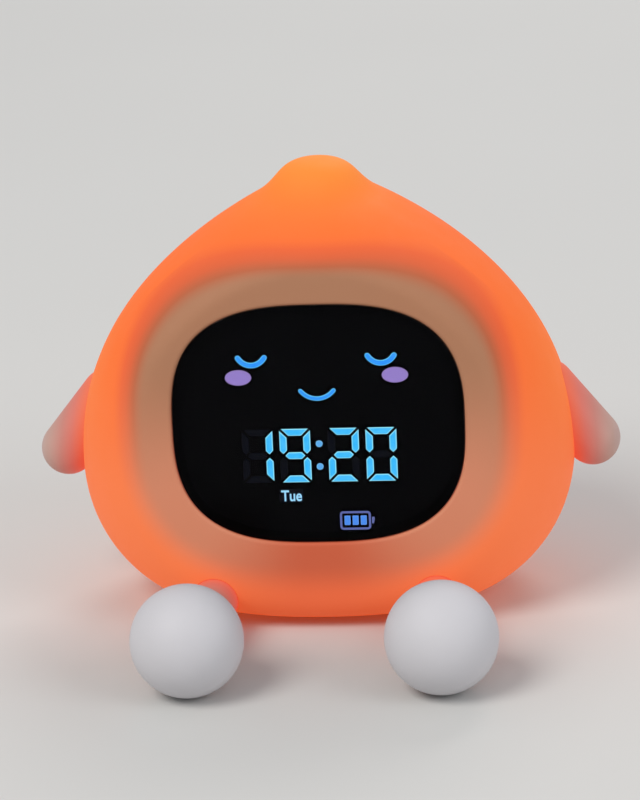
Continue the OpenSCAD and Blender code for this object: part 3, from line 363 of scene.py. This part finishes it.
def shade_finish():
    """Lit silicone, with the light of the LEDs inside painted into its colour and emission: tan in the painted
    shade of the inner housing round the lens, red where the painted glow starts, orange on the flanks, paler at
    the top, with painted light on the lower sides and painted shade underneath.
    """
    f = Finish("lit_silicone")
    glow, low, under, far = (f.value(name) for name in ("glow", "low", "under", "far"))
    # base colour follows the painted glow: tan in the inner housing's painted shade, orange where the painted
    # glow is full
    base = f.scale(glow, (0, (0.40, 0.20, 0.112)), (0.22, (0.36, 0.117, 0.052)), (0.5, (0.36, 0.09, 0.03)),
                   (1, (0.37, 0.096, 0.028)))
    # low: painted light that makes the lower sides paler and brighter; under: painted shade, darker red, under
    # the body
    base = f.mix(low, base, f.scale(glow, (0, (0.46, 0.235, 0.14)), (1, (0.40, 0.145, 0.052))))
    base = f.mix(under, base, f.scale(glow, (0, (0.38, 0.10, 0.052)), (1, (0.38, 0.11, 0.05))))
    base = f.mix(f.spread(f.noise(28, 2), 0.3, 0.7, 0.0, 0.10), base, (0.39, 0.14, 0.06))
    # shine: the painted glow of the LEDs inside, dark in the inner housing's painted shade
    shine = f.scale(glow, (0, (0.03, 0.005, 0.001)), (0.22, (0.15, 0.015, 0.004)), (0.5, (0.37, 0.038, 0.014)),
                    (0.78, (0.49, 0.041, 0.009)), (1, (0.62, 0.080, 0.004)))
    shine = f.mix(low, shine, f.scale(glow, (0, (0.22, 0.03, 0.012)), (0.5, (0.43, 0.060, 0.020)),
                                      (1, (0.59, 0.087, 0.026))))
    shine = f.mix(under, shine, f.scale(glow, (0, (0.24, 0.028, 0.008)), (1, (0.47, 0.050, 0.010))))
    # far: painted glow, paler and stronger towards the top, away from the lens
    shine = f.mix(f.spread(far, 0.0, 1.0, 0.0, 0.5), shine, (0.64, 0.33, 0.018))
    f.set(Base_Color=base, Emission_Color=shine, Emission_Strength=1.0,
          Roughness=f.spread(f.noise(160, 4), 0.3, 0.7, 0.62, 0.74), Specular_IOR_Level=0.2)
    return f.bump(f.noise(SKIN_GRAIN, 2), 0.00002).material


def limb_finish():
    """White silicone that takes up the body's light near its root."""
    f = Finish("limb_silicone_soft")
    # the body's glow painted onto the limb near its root, as a warmer colour and a faint emission
    body_glow = f.value("body_glow")
    plain = f.mix(f.noise(45, 3), (0.575, 0.562, 0.585), (0.625, 0.61, 0.63))
    tint = f.scale(body_glow, (0, (0.60, 0.585, 0.61)), (0.35, (0.50, 0.345, 0.29)), (0.6, (0.43, 0.235, 0.19)),
                   (0.8, (0.42, 0.19, 0.14)), (1, (0.40, 0.15, 0.05)))
    shine = f.scale(body_glow, (0, (0, 0, 0)), (0.35, (0.04, 0.003, 0.003)), (0.6, (0.17, 0.01, 0.01)),
                    (0.8, (0.30, 0.015, 0.015)), (1, (0.52, 0.03, 0.02)))
    f.set(Base_Color=f.mix(f.spread(body_glow, 0.0, 0.35, 0.0, 1.0), plain, tint), Emission_Color=shine,
          Emission_Strength=1.0, Roughness=f.spread(f.noise(180, 4), 0.3, 0.7, 0.52, 0.66),
          Specular_IOR_Level=0.35)
    return f.bump(f.noise(SKIN_GRAIN, 2), 0.00002).material


def plain_finish(name, dark, light, rough, scale, height, **more):
    """Moulded plastic, rubber or metal: a slow colour drift, uneven gloss and a fine surface grain."""
    f = Finish(name)
    f.set(Base_Color=f.mix(f.noise(scale), dark, light),
          Roughness=f.spread(f.noise(scale * 4, 4), 0.3, 0.7, rough[0], rough[1]), **more)
    return f.bump(f.noise(PLASTIC_GRAIN, 2), height).material


def light_finish(name, core, rim, strength):
    """A lit guide, with a paler rim where the attribute core is 0."""
    f = Finish(name)
    shine = f.mix(f.value("core"), rim, core)
    shine = f.mix(f.spread(f.noise(700, 2), 0.3, 0.7, 0.0, 0.18), shine, rim)
    f.set(Base_Color=(0.05, 0.06, 0.08), Emission_Color=shine, Emission_Strength=strength, Roughness=0.35)
    return f.material


def lens_finish():
    f = Finish("smoked_acrylic")
    f.set(Base_Color=(0.42, 0.42, 0.43), Transmission_Weight=1.0, IOR=1.49,
          Specular_Tint=(0.045, 0.045, 0.055), Roughness=f.spread(f.noise(90, 5), 0.45, 0.8, 0.015, 0.05))
    return f.material


def srgb(r, g, b):
    return tuple(((v / 255 + 0.055) / 1.055) ** 2.4 if v > 10 else v / 255 / 12.92 for v in (r, g, b))


# material slot, then the finish: name, darker and lighter colour, roughness, scale of the drift, grain height
PLAIN = [
    ("pad_rubber", "pad_rubber_soft", (0.50, 0.47, 0.45), (0.56, 0.53, 0.50), (0.6, 0.75), 90, 0.00003),
    ("white_plastic", "moulded_white", (0.76, 0.75, 0.72), (0.82, 0.81, 0.78), (0.38, 0.5), 60, 0.00004),
    ("blue_light", "unlit_guide", (0.004, 0.009, 0.032), (0.006, 0.012, 0.042), (0.3, 0.4), 300, 0.00001),
    ("icon_light", "unlit_icon", (0.010, 0.010, 0.030), (0.014, 0.014, 0.040), (0.3, 0.4), 300, 0.00001),
    ("led_white", "led_package", (0.72, 0.66, 0.42), (0.86, 0.82, 0.62), (0.25, 0.35), 900, 0.00001),
    ("circuit_board", "solder_resist", (0.018, 0.085, 0.045), (0.03, 0.12, 0.065), (0.22, 0.32), 220, 0.00003),
    ("black_parts", "chip_body", (0.02, 0.02, 0.022), (0.035, 0.035, 0.037), (0.45, 0.6), 400, 0.00003),
    ("battery_sleeve", "shrink_sleeve", (0.03, 0.12, 0.36), (0.05, 0.17, 0.45), (0.25, 0.35), 120, 0.00003),
    ("button_plastic", "satin_button", (0.60, 0.585, 0.56), (0.66, 0.64, 0.61), (0.42, 0.52), 90, 0.00003),
]
finish = {slot: plain_finish(*row) for slot, *row in PLAIN}
finish["shade_silicone"] = shade_finish()
finish["limb_silicone"] = limb_finish()
finish["smoked_lens"] = lens_finish()
finish["black_plastic"] = plain_finish("moulded_black", (0.006, 0.006, 0.007), (0.010, 0.010, 0.011),
                                       (0.5, 0.65), 60, 0.00003, Specular_IOR_Level=0.12)
finish["steel"] = plain_finish("zinc_plated", (0.52, 0.53, 0.55), (0.66, 0.66, 0.68), (0.24, 0.4), 500, 0.00002,
                               Metallic=1.0)
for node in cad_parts.values():
    for i, given in enumerate(node.data.materials):
        node.data.materials[i] = finish.get(given.name.split(".")[0], finish["white_plastic"])
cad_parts["lens_tape"].data.materials[0] = plain_finish(
    "black_tape", (0.003, 0.003, 0.004), (0.005, 0.005, 0.006), (0.6, 0.7), 60, 0.00002,
    Specular_IOR_Level=0.05)


def piece(obj, slot, *nodes, material=None):
    """Hand the piece over, with its material and the CAD nodes it stands for."""
    obj.data.materials.clear()
    obj.data.materials.append(material or finish[slot])
    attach(obj, "housing")
    if nodes:
        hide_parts(*nodes)


# ---------- the lit silicone body ----------
# Each cutter runs past the wall on both sides.
def window_cutter():
    """Lens seat with its flange groove and a rolled edge, in the face's frame."""
    wide = LENS_FLANGE + 2 * SEAT_GAP
    profile = [(-6.0, SEAT_GAP + WINDOW_EASE), (0.0, SEAT_GAP + WINDOW_EASE)]
    profile += eased(0.0, SEAT_GAP, WINDOW_EASE, -1)
    profile += [(LIP_BACK, SEAT_GAP), (LIP_BACK, wide), (LIP_BACK + 12, wide)]
    rings = []
    for y, grow in profile:
        outline = lens_outline(grow)
        rings.append(at_face(outline[:, 0], y, outline[:, 1]))
    return loft("window_cutter", rings)


def rear_cutter():
    """Rear panel's seat with its flange groove and a rolled edge."""
    wide = PANEL_FLANGE + 2 * SEAT_GAP
    profile = [(REAR_LIP - 6, wide), (REAR_LIP, wide), (REAR_LIP, PANEL_GAP),
               (BACK_DEPTH - REAR_EASE, PANEL_GAP)]
    profile += eased(BACK_DEPTH, PANEL_GAP, REAR_EASE, 1)
    profile.append((BACK_DEPTH + 4, PANEL_GAP + REAR_EASE))
    rings = []
    for y, grow in profile:
        outline = panel_outline(grow)
        rings.append(np.insert(outline, 1, y, axis=1))
    return loft("rear_cutter", rings)


def base_cutters():
    """The base's opening, and the groove above its lip."""
    out = []
    for z0, z1, grow in ((-3.0, LIP_TOP + 0.5, 0.0), (LIP_TOP, LIP_TOP + 3.0, BASE_FLANGE + 2 * SEAT_GAP)):
        outline = base_outline(grow)
        out.append(loft("base_cutter", [np.insert(outline, 2, z, axis=1) for z in (z0, z1)]))
    return out


shoulder = {side: (side * SHOULDER_PITCH / 2, 0, SHOULDER_H) for side in (-1, 1)}
hand = {side: (side * HAND_PITCH / 2, 0, HAND_H) for side in (-1, 1)}
foot = {side: (side * LEG_PITCH / 2, -LEG_REACH, FOOT_D / 2) for side in (-1, 1)}
leg_end = {side: (side * LEG_ROOT_PITCH / 2, -LEG_END_Y, LEG_ROOT_H) for side in (-1, 1)}
arm_len = math.dist(shoulder[1], hand[1])
leg_len = math.dist(foot[1], leg_end[1])


def capsule_profile(r, length, rings):
    """Profile (radius, distance) of a round-ended rod whose end centres are length apart."""
    low = [(r * math.cos(a), r * math.sin(a)) for a in np.radians(np.linspace(-89, 0, rings))]
    high = [(r * math.cos(a), length + r * math.sin(a)) for a in np.radians(np.linspace(0, 89, rings))]
    return low + [(r, length * t) for t in np.linspace(0.1, 0.9, 9)] + high


def leg_rod(name, side, r, start, end):
    """Plain rod on the leg's axis."""
    return loft(name, along_axis(foot[side], leg_end[side], [(r, start), (r, end)], 72))


def limb_cutters():
    out = []
    for side in (-1, 1):
        profile = capsule_profile(ARM_D / 2 + SEAT_GAP, arm_len, 12)
        out.append(loft("arm_cutter", along_axis(shoulder[side], hand[side], profile, 72)))
        for r, past in ((LEG_D / 2 + SEAT_GAP, 0), (PEG_R + 2 * SEAT_GAP, PEG_ROOT)):
            out.append(leg_rod("leg_cutter", side, r, leg_len * 0.3, leg_len + past + 2 * SEAT_GAP))
    return out


def lens_distance(x, z):
    """Distance in millimetres from the lens's outline, seen square to the face."""
    outline = lens_outline(0, 240)
    near = np.full(len(x), 1e9)
    for px, pz in outline:
        near = np.minimum(near, (x - px) ** 2 + (z - pz) ** 2)
    inside = (np.abs(x / (LENS_W / 2)) ** LENS_SQUARE + np.abs(z / (LENS_H / 2)) ** LENS_SQUARE) < 1
    return np.where(inside, -1, 1) * np.sqrt(near)


def panel_distance(x, z):
    """Distance in millimetres from the rear panel's outline; x and z are from its middle."""
    qx = np.abs(x) - (PANEL_W / 2 - PANEL_R)
    qz = np.abs(z) - (PANEL_H / 2 - PANEL_R)
    return np.hypot(np.maximum(qx, 0), np.maximum(qz, 0)) + np.minimum(np.maximum(qx, qz), 0) - PANEL_R


def rows_of(*counts, top):
    """Values of s, with counts rows in each of the three runs and the last at top."""
    ends = (1, 2, top)
    parts = [np.linspace(run, ends[run], counts[run]) for run in range(3)]
    return np.concatenate([parts[0][:-1], parts[1][:-1], parts[2]])


# painted shade ring round the lens and the panel, where the inner display housing and the rear panel block the
# light inside: where the painted glow starts, and how far on it is full, in millimetres
RING_START, RING_MORE_TOP, RING_MORE_SIDE = 5.5, 1.5, 1.8
RING_FADE, RING_LESS_SIDE = 9.5, 0.5
REAR_RING_START, REAR_RING_FADE = 0.5, 7.0
# the painted glow is full on the flanks, within LIT_DEPTH of the middle plane
LIT_DEPTH, LIT_BLEND = 20, 6


def make_shade():
    outer = loft("shade_skin", skin_rows(rows_of(34, 72, 34, top=SKIN_TOP), 288, 0, SKIN_TOP))
    inner = loft("hollow", skin_rows(rows_of(12, 24, 10, top=HOLLOW_TOP), 96, WALL, HOLLOW_TOP))
    carve(outer, [inner, window_cutter(), rear_cutter(), *base_cutters(), *limb_cutters()])
    p = coords(outer)
    front = p[:, 1] < 0
    from_lens = lens_distance(p[:, 0], (p[:, 2] - FACE_H) / math.cos(math.radians(FACE_TILT)))
    from_edge = np.where(front, from_lens, panel_distance(p[:, 0], p[:, 2] - PANEL_MID))
    turn = np.degrees(np.arctan2(p[:, 2] - FACE_H, np.abs(p[:, 0])))
    side = np.cos(np.radians(turn)) ** 2
    start = RING_START + RING_MORE_TOP * ramp(turn, 30, 80) + RING_MORE_SIDE * side
    start = np.where(front, start, REAR_RING_START)
    fade = np.where(front, RING_FADE - RING_LESS_SIDE * side, REAR_RING_FADE)
    # glow: painted light of the LEDs inside, 0 in the painted shade ring and 1 where it is full
    glow = ramp(from_edge, start, start + fade)
    depth = np.abs(p[:, 1])
    glow = np.where(depth < LIT_DEPTH, np.maximum(glow, ramp(LIT_DEPTH - depth, 0, LIT_BLEND)), glow)
    set_value(outer, "glow", glow)
    # low and under: painted light on the lower sides and painted shade underneath; far: stronger painted glow
    # towards the top
    set_value(outer, "low", ramp(-turn, -25, 30))
    set_value(outer, "under", ramp(-turn, 42, 85))
    set_value(outer, "far", ramp(from_lens, 14, 34) * ramp(turn, -20, 40))
    piece(smooth(outer), "shade_silicone", "shade")


make_shade()


# ---------- arms and legs ----------
# painted glow of the body on the arms and legs: how far it fades along the arms, and its strength and reach on
# each leg
ARM_FADE, LEG_BODY_GLOW = 0.68, 0.95
LEG_LIT = {-1: (-62, -34), 1: (-68, -44)}


def body_gap(points):
    """Rough distance outside the body, from its half width at each height."""
    table = np.array([station(s)[[3, 0]] for s in np.linspace(0, 2.98, 120)])
    return np.abs(points[:, 0]) - np.interp(points[:, 2], table[:, 0], table[:, 1])


for side, word in ((-1, "left"), (1, "right")):
    rings = along_axis(shoulder[side], hand[side], capsule_profile(ARM_D / 2, arm_len, 24))
    arm = loft(f"{word}_arm_soft", rings)
    # the body's glow painted on the arm, fading away from the body
    set_value(arm, "body_glow", 1 - ARM_FADE * ramp(body_gap(coords(arm)), -2, 12))
    piece(smooth(arm), "limb_silicone", f"{word}_arm")

# ball foot, fillet, rod and eased end, as (radius, distance from the ball's centre)
foot_r, leg_r = FOOT_D / 2, LEG_D / 2
fillet_z = math.sqrt((foot_r + LEG_FILLET) ** 2 - (leg_r + LEG_FILLET) ** 2)
join = math.degrees(math.atan2(fillet_z, leg_r + LEG_FILLET))
leg_profile = [(foot_r * math.cos(a), foot_r * math.sin(a)) for a in np.radians(np.linspace(-89, join, 60))]
leg_profile += [(leg_r + LEG_FILLET + LEG_FILLET * math.cos(a), fillet_z + LEG_FILLET * math.sin(a))
                for a in np.radians(180 + join * (1 - np.linspace(0.1, 1, 12)))]
leg_profile += [(leg_r, fillet_z + (leg_len - 1 - fillet_z) * t) for t in (0.25, 0.5, 0.75, 1)]
leg_profile += [(leg_r - 0.3, leg_len - 0.3), (leg_r - 1, leg_len)]
for side, word in ((-1, "left"), (1, "right")):
    leg = loft(f"{word}_leg_soft", along_axis(foot[side], leg_end[side], leg_profile))
    # the body's glow painted on the leg's end near the body
    set_value(leg, "body_glow", LEG_BODY_GLOW * ramp(coords(leg)[:, 1], *LEG_LIT[side]))
    piece(smooth(leg), "limb_silicone", f"{word}_leg")

# ---------- pad under the base ----------
PAD_PROFILE = ((PAD_T, -0.5), (0.5, -0.5), (0.15, -0.62), (0.0, -1.0), (0.0, -3.0), (0.25, -3.4), (0.25, -9.0))
pad = loft("base_pad_soft", [np.insert(base_outline(grow), 2, z, axis=1) for z, grow in PAD_PROFILE])
carve(pad, [leg_rod("leg_room", side, leg_r + 2 * SEAT_GAP, 0, leg_len + 2 * SEAT_GAP) for side in (-1, 1)])
piece(smooth(pad), "pad_rubber", "base_pad")

# ---------- lens ----------
LENS_PROFILE = ((0, -20), (0, -0.53), (0, -0.5), (0.03, -0.3), (0.13, -0.1), (0.3, -0.02), (0.5, 0),
                (LENS_T - 0.03, 0), (LENS_T - 0.03, -20))
rings = []
for y, grow in LENS_PROFILE:
    outline = lens_outline(grow, 240)
    rings.append(at_face(outline[:, 0], LENS_RECESS + y, outline[:, 1]))
piece(smooth(loft("smoked_window", rings), 40), "smoked_lens", "display_lens")


# ---------- display cells ----------
def inset(points, d):
    """Outline moved inward by d, with mitred corners; points run anticlockwise."""
    p = np.asarray(points, float)
    out = []
    for i in range(len(p)):
        a, b, c = p[i - 1], p[i], p[(i + 1) % len(p)]
        n1 = np.array([-(b - a)[1], (b - a)[0]]) / np.linalg.norm(b - a)
        n2 = np.array([-(c - b)[1], (c - b)[0]]) / np.linalg.norm(c - b)
        out.append(b + (n1 + n2) * d / max(1 + float(n1 @ n2), 0.2))
    return np.array(out)


def anticlockwise(points):
    p = np.asarray(points, float)
    area = np.sum(p[:, 0] * np.roll(p[:, 1], -1) - np.roll(p[:, 0], -1) * p[:, 1])
    return p if area > 0 else p[::-1]


def cells_object(name, outlines, rim=0.28, front=CELL_FRONT):
    """Light guides: each outline becomes a prism with an eased front edge and a paler rim."""
    points, faces, core = [], [], []
    for outline in outlines:
        o = anticlockwise(outline)
        n, base = len(o), len(points)
        for y, ring, c in ((GUIDE_BACK, o, 0), (front + 0.1, o, 0), (front + 0.03, inset(o, 0.03), 0),
                           (front, inset(o, 0.1), 0), (front, inset(o, rim), 1)):
            points += list(at_face(ring[:, 0], y, ring[:, 1]))
            core += [c] * n
        for r in range(4):
            for j in range(n):
                a, b = base + r * n + j, base + r * n + (j + 1) % n
                faces.append((a, b, b + n, a + n))
        faces.append(tuple(base + 4 * n + j for j in range(n)))
        faces.append(tuple(base + j for j in reversed(range(n))))
    obj = mesh_object(name, np.array(points), faces)
    set_value(obj, "core", core)
    return smooth(obj)


def digit_cells(e):
    """Outlines of one digit's seven segments, keyed by the usual letters."""
    w, h, t, m = DIGIT_W / 2 - e, DIGIT_H / 2 - e, STROKE - 2 * e, MITRE + e
    out = {}
    for v, key in ((1, "a"), (-1, "d")):
        out[key] = [(-w + m, v * h), (w - m, v * h), (w - t - m, v * (h - t)), (-w + t + m, v * (h - t))]
    for u, v, key in ((1, 1, "b"), (1, -1, "c"), (-1, -1, "e"), (-1, 1, "f")):
        out[key] = [(u * w, v * (h - m)), (u * (w - t), v * (h - t - m)), (u * (w - t), v * (t / 2 + m)),
                    (u * (w - t / 2), v * m), (u * w, v * (t / 2 + m))]
    out["g"] = [(-w + t / 2 + m, 0), (-w + t + m, t / 2), (w - t - m, t / 2),
                (w - t / 2 - m, 0), (w - t - m, -t / 2), (-w + t + m, -t / 2)]
    return out


LIT = {"1": "bc", "9": "abcdfg", "2": "abdeg", "0": "abcdef"}
lit, unlit = [], []
digit_x = [s * PAIR_PITCH / 2 + k * DIGIT_PITCH / 2 for s in (-1, 1) for k in (-1, 1)]
for x, char in zip(digit_x, "1920"):
    for key, outline in digit_cells(CELL_GAP).items():
        moved = [(px + x, pz - DIGIT_DROP) for px, pz in outline]
        (lit if key in LIT[char] else unlit).append(moved)
circle = np.radians(np.arange(32) * 360 / 32)
colon_r = COLON_D / 2 - CELL_GAP
colon = [np.column_stack([colon_r * np.cos(circle), colon_r * np.sin(circle) + v * COLON_RISE - DIGIT_DROP])
         for v in (-1, 1)]


def smile(w, sag, t, lowest):
    """Outline of a round-ended arc, w wide and t thick, whose middle sags by sag down to lowest."""
    half = (w - t) / 2
    r = (half * half + sag * sag) / (2 * sag)
    span = math.asin(half / r)
    a = np.linspace(-math.pi / 2 - span, -math.pi / 2 + span, 33)

    def arc(radius, turns, mid=(0, r)):
        return [(mid[0] + radius * math.cos(v), mid[1] + radius * math.sin(v)) for v in turns]

    cap = np.linspace(0, math.pi, 13)[1:-1]
    right_end, left_end = arc(r, (a[-1], a[0]))
    outline = arc(r + t / 2, a) + arc(t / 2, a[-1] + cap, right_end)
    outline += arc(r - t / 2, a[::-1]) + arc(t / 2, a[0] + math.pi + cap, left_end)
    return [(px + lowest[0], pz + lowest[1]) for px, pz in outline]


blue = light_finish("lit_cyan", srgb(42, 186, 255), srgb(150, 235, 255), 2.25)
face_blue = light_finish("lit_blue", srgb(34, 148, 255), srgb(105, 205, 255), 2.2)
colon_blue = light_finish("lit_colon", srgb(93, 184, 255), srgb(130, 205, 255), 1.9)
lilac = light_finish("lit_lilac", srgb(160, 136, 214), srgb(156, 132, 198), 1.95)
pale = light_finish("lit_pale", srgb(158, 221, 255), srgb(140, 205, 255), 2.3)
line = light_finish("lit_line", srgb(118, 132, 210), srgb(125, 135, 200), 1.4)
bar_blue = light_finish("lit_bar", srgb(75, 150, 255), srgb(105, 165, 255), 1.95)

piece(cells_object("time_lit", lit), "blue_light", "segment_lights", material=blue)
piece(cells_object("time_unlit", unlit), "blue_light", "segment_lights")
piece(cells_object("colon_lit", colon, rim=0.22), "blue_light", "segment_lights", material=colon_blue)
eyes = [smile(EYE_W - 2 * CELL_GAP, EYE_SAG, EYE_STROKE - 2 * CELL_GAP, (u * EYE_PITCH / 2, EYE_RISE - EYE_BOW))
        for u in (-1, 1)]
mouth = smile(MOUTH_W - 2 * CELL_GAP, MOUTH_SAG, MOUTH_STROKE - 2 * CELL_GAP, (0, MOUTH_RISE - MOUTH_BOW))
cheeks = [oval(CHEEK_W / 2 - CELL_GAP, CHEEK_H / 2 - CELL_GAP, 2, 48) + [u * CHEEK_PITCH / 2, CHEEK_RISE]
          for u in (-1, 1)]
piece(cells_object("eyes_lit", eyes, rim=0.22), "icon_light", "icon_lights", material=face_blue)
piece(cells_object("mouth_lit", [mouth], rim=0.2), "icon_light", "icon_lights", material=face_blue)
piece(cells_object("cheeks_lit", cheeks, rim=0.3), "icon_light", "icon_lights", material=lilac)


def battery_sign():
    """Rounded outline as one closed strip, standing in its groove."""
    outer = rounded(CHARGE_W, CHARGE_H, 0.9, CHARGE_AT)
    inner = rounded(CHARGE_W - 2 * CHARGE_LINE, CHARGE_H - 2 * CHARGE_LINE, 0.4, CHARGE_AT)
    n, front, back = len(outer), CELL_FRONT, COLLAR_Y + 0.6
    points = np.concatenate([at_face(o[:, 0], y, o[:, 1]) for o, y in
                             ((outer, back), (outer, front), (inner, front), (inner, back))])
    faces = [(r * n + j, r * n + (j + 1) % n, ((r + 1) % 4) * n + (j + 1) % n, ((r + 1) % 4) * n + j)
             for r in range(4) for j in range(n)]
    obj = mesh_object("battery_line_lit", points, faces)
    set_value(obj, "core", [1] * len(points))
    return smooth(obj)


piece(battery_sign(), "icon_light", "icon_lights", material=line)
tab = rounded(0.55, 1.8, 0.2, (CHARGE_AT[0] + CHARGE_W / 2 + 0.5, CHARGE_AT[1]), 3)
piece(cells_object("battery_tab_lit", [tab], rim=0.15), "icon_light", "icon_lights", material=line)
bars = [rounded(BAR_W - 2 * CELL_GAP, BAR_H - 2 * CELL_GAP, 0.15,
                (CHARGE_AT[0] + k * BAR_PITCH, CHARGE_AT[1]), 3) for k in (-1, 0, 1)]
piece(cells_object("battery_bars_lit", bars, rim=0.22), "icon_light", "icon_lights", material=bar_blue)


def day_word():
    """Generic weekday lettering, fitted to its window."""
    text = bpy.data.curves.new("day", "FONT")
    text.body, text.align_x, text.align_y = "Tue", "CENTER", "CENTER"
    text.size, text.extrude, text.offset = 1.0, 0.02, 0.012
    holder = new_object("day_text", text)
    graph = bpy.context.evaluated_depsgraph_get()
    mesh = bpy.data.meshes.new_from_object(holder.evaluated_get(graph))
    bpy.data.objects.remove(holder)
    co = np.array([v.co for v in mesh.vertices])
    low, high = co.min(0), co.max(0)
    mid, size = (low + high) / 2, high - low
    x = (co[:, 0] - mid[0]) / size[0] * DAY_W + DAY_AT[0]
    z = (co[:, 1] - mid[1]) / size[1] * DAY_CAP_H + DAY_AT[1]
    y = CELL_FRONT + (high[2] - co[:, 2]) / size[2] * 0.3
    for vertex, place in zip(mesh.vertices, at_face(x, y, z)):
        vertex.co = place * MM
    obj = new_object("day_word_lit", mesh)
    set_value(obj, "core", [1] * len(mesh.vertices))
    return smooth(obj)


piece(day_word(), "icon_light", "icon_lights", material=pale)
day_window = rounded(DAY_WINDOW[0] - 2 * CELL_GAP, DAY_WINDOW[1] - 2 * CELL_GAP, 0.05, DAY_AT, 2)
piece(cells_object("day_window_unlit", [day_window], front=COLLAR_Y + 0.3), "icon_light", "icon_lights")

# ---------- floor, light and camera ----------
floor_mesh = bpy.data.meshes.new("floor")
floor_mesh.from_pydata([(-8, -8, 0), (8, -8, 0), (8, 8, 0), (-8, 8, 0)], [], [(0, 1, 2, 3)])
floor = new_object("floor", floor_mesh)
paper = Finish("floor_paper")
paper.set(Base_Color=paper.mix(paper.noise(3, 2), (0.60, 0.595, 0.575), (0.63, 0.625, 0.605)),
          Roughness=0.85, Specular_IOR_Level=0.2)
floor.data.materials.append(paper.material)

world = bpy.data.worlds.new("studio")
world.use_nodes = True
sky = world.node_tree.nodes["Background"]
sky.inputs["Color"].default_value, sky.inputs["Strength"].default_value = (0.93, 0.95, 1.0, 1), 0.5
bpy.context.scene.world = world


BODY_MIDDLE = Vector((0, 0, 0.06))


def lamp(name, at, size, power, colour):
    """Round soft lamp that faces the body's middle."""
    light = bpy.data.lights.new(name, "AREA")
    light.shape, light.size, light.energy, light.color = "DISK", size, power, colour
    obj = bpy.data.objects.new(name, light)
    bpy.context.scene.collection.objects.link(obj)
    obj.location = at
    obj.rotation_euler = (BODY_MIDDLE - Vector(at)).to_track_quat("-Z", "Y").to_euler()


lamp("key", (-0.9, -1.0, 1.5), 1.0, 20.0, (1.0, 0.98, 0.95))
lamp("fill", (1.3, -0.8, 0.9), 1.0, 7.0, (0.95, 0.97, 1.0))
lamp("back", (0.3, 1.4, 1.2), 0.9, 9.0, (1.0, 0.98, 0.96))

# fitted to the photograph's view of the lens, the marks and the feet
camera_data = bpy.data.cameras.new("camera")
camera_data.sensor_width, camera_data.sensor_fit, camera_data.lens = 36.0, "AUTO", 141.25
camera_data.clip_start, camera_data.clip_end = 0.01, 50
camera = bpy.data.objects.new("camera", camera_data)
bpy.context.scene.collection.objects.link(camera)
forward, up = Vector((-0.07912, 0.94551, -0.31583)), Vector((0.02002, 0.31827, 0.94779))
right = forward.cross(up).normalized()
view = Matrix((right, right.cross(forward).normalized(), -forward.normalized())).transposed()
camera.matrix_world = Matrix.Translation(Vector((64.22, -790.96, 315.80)) * MM) @ view.to_4x4()
bpy.context.scene.camera = camera
bpy.context.scene.view_settings.view_transform = "Standard"
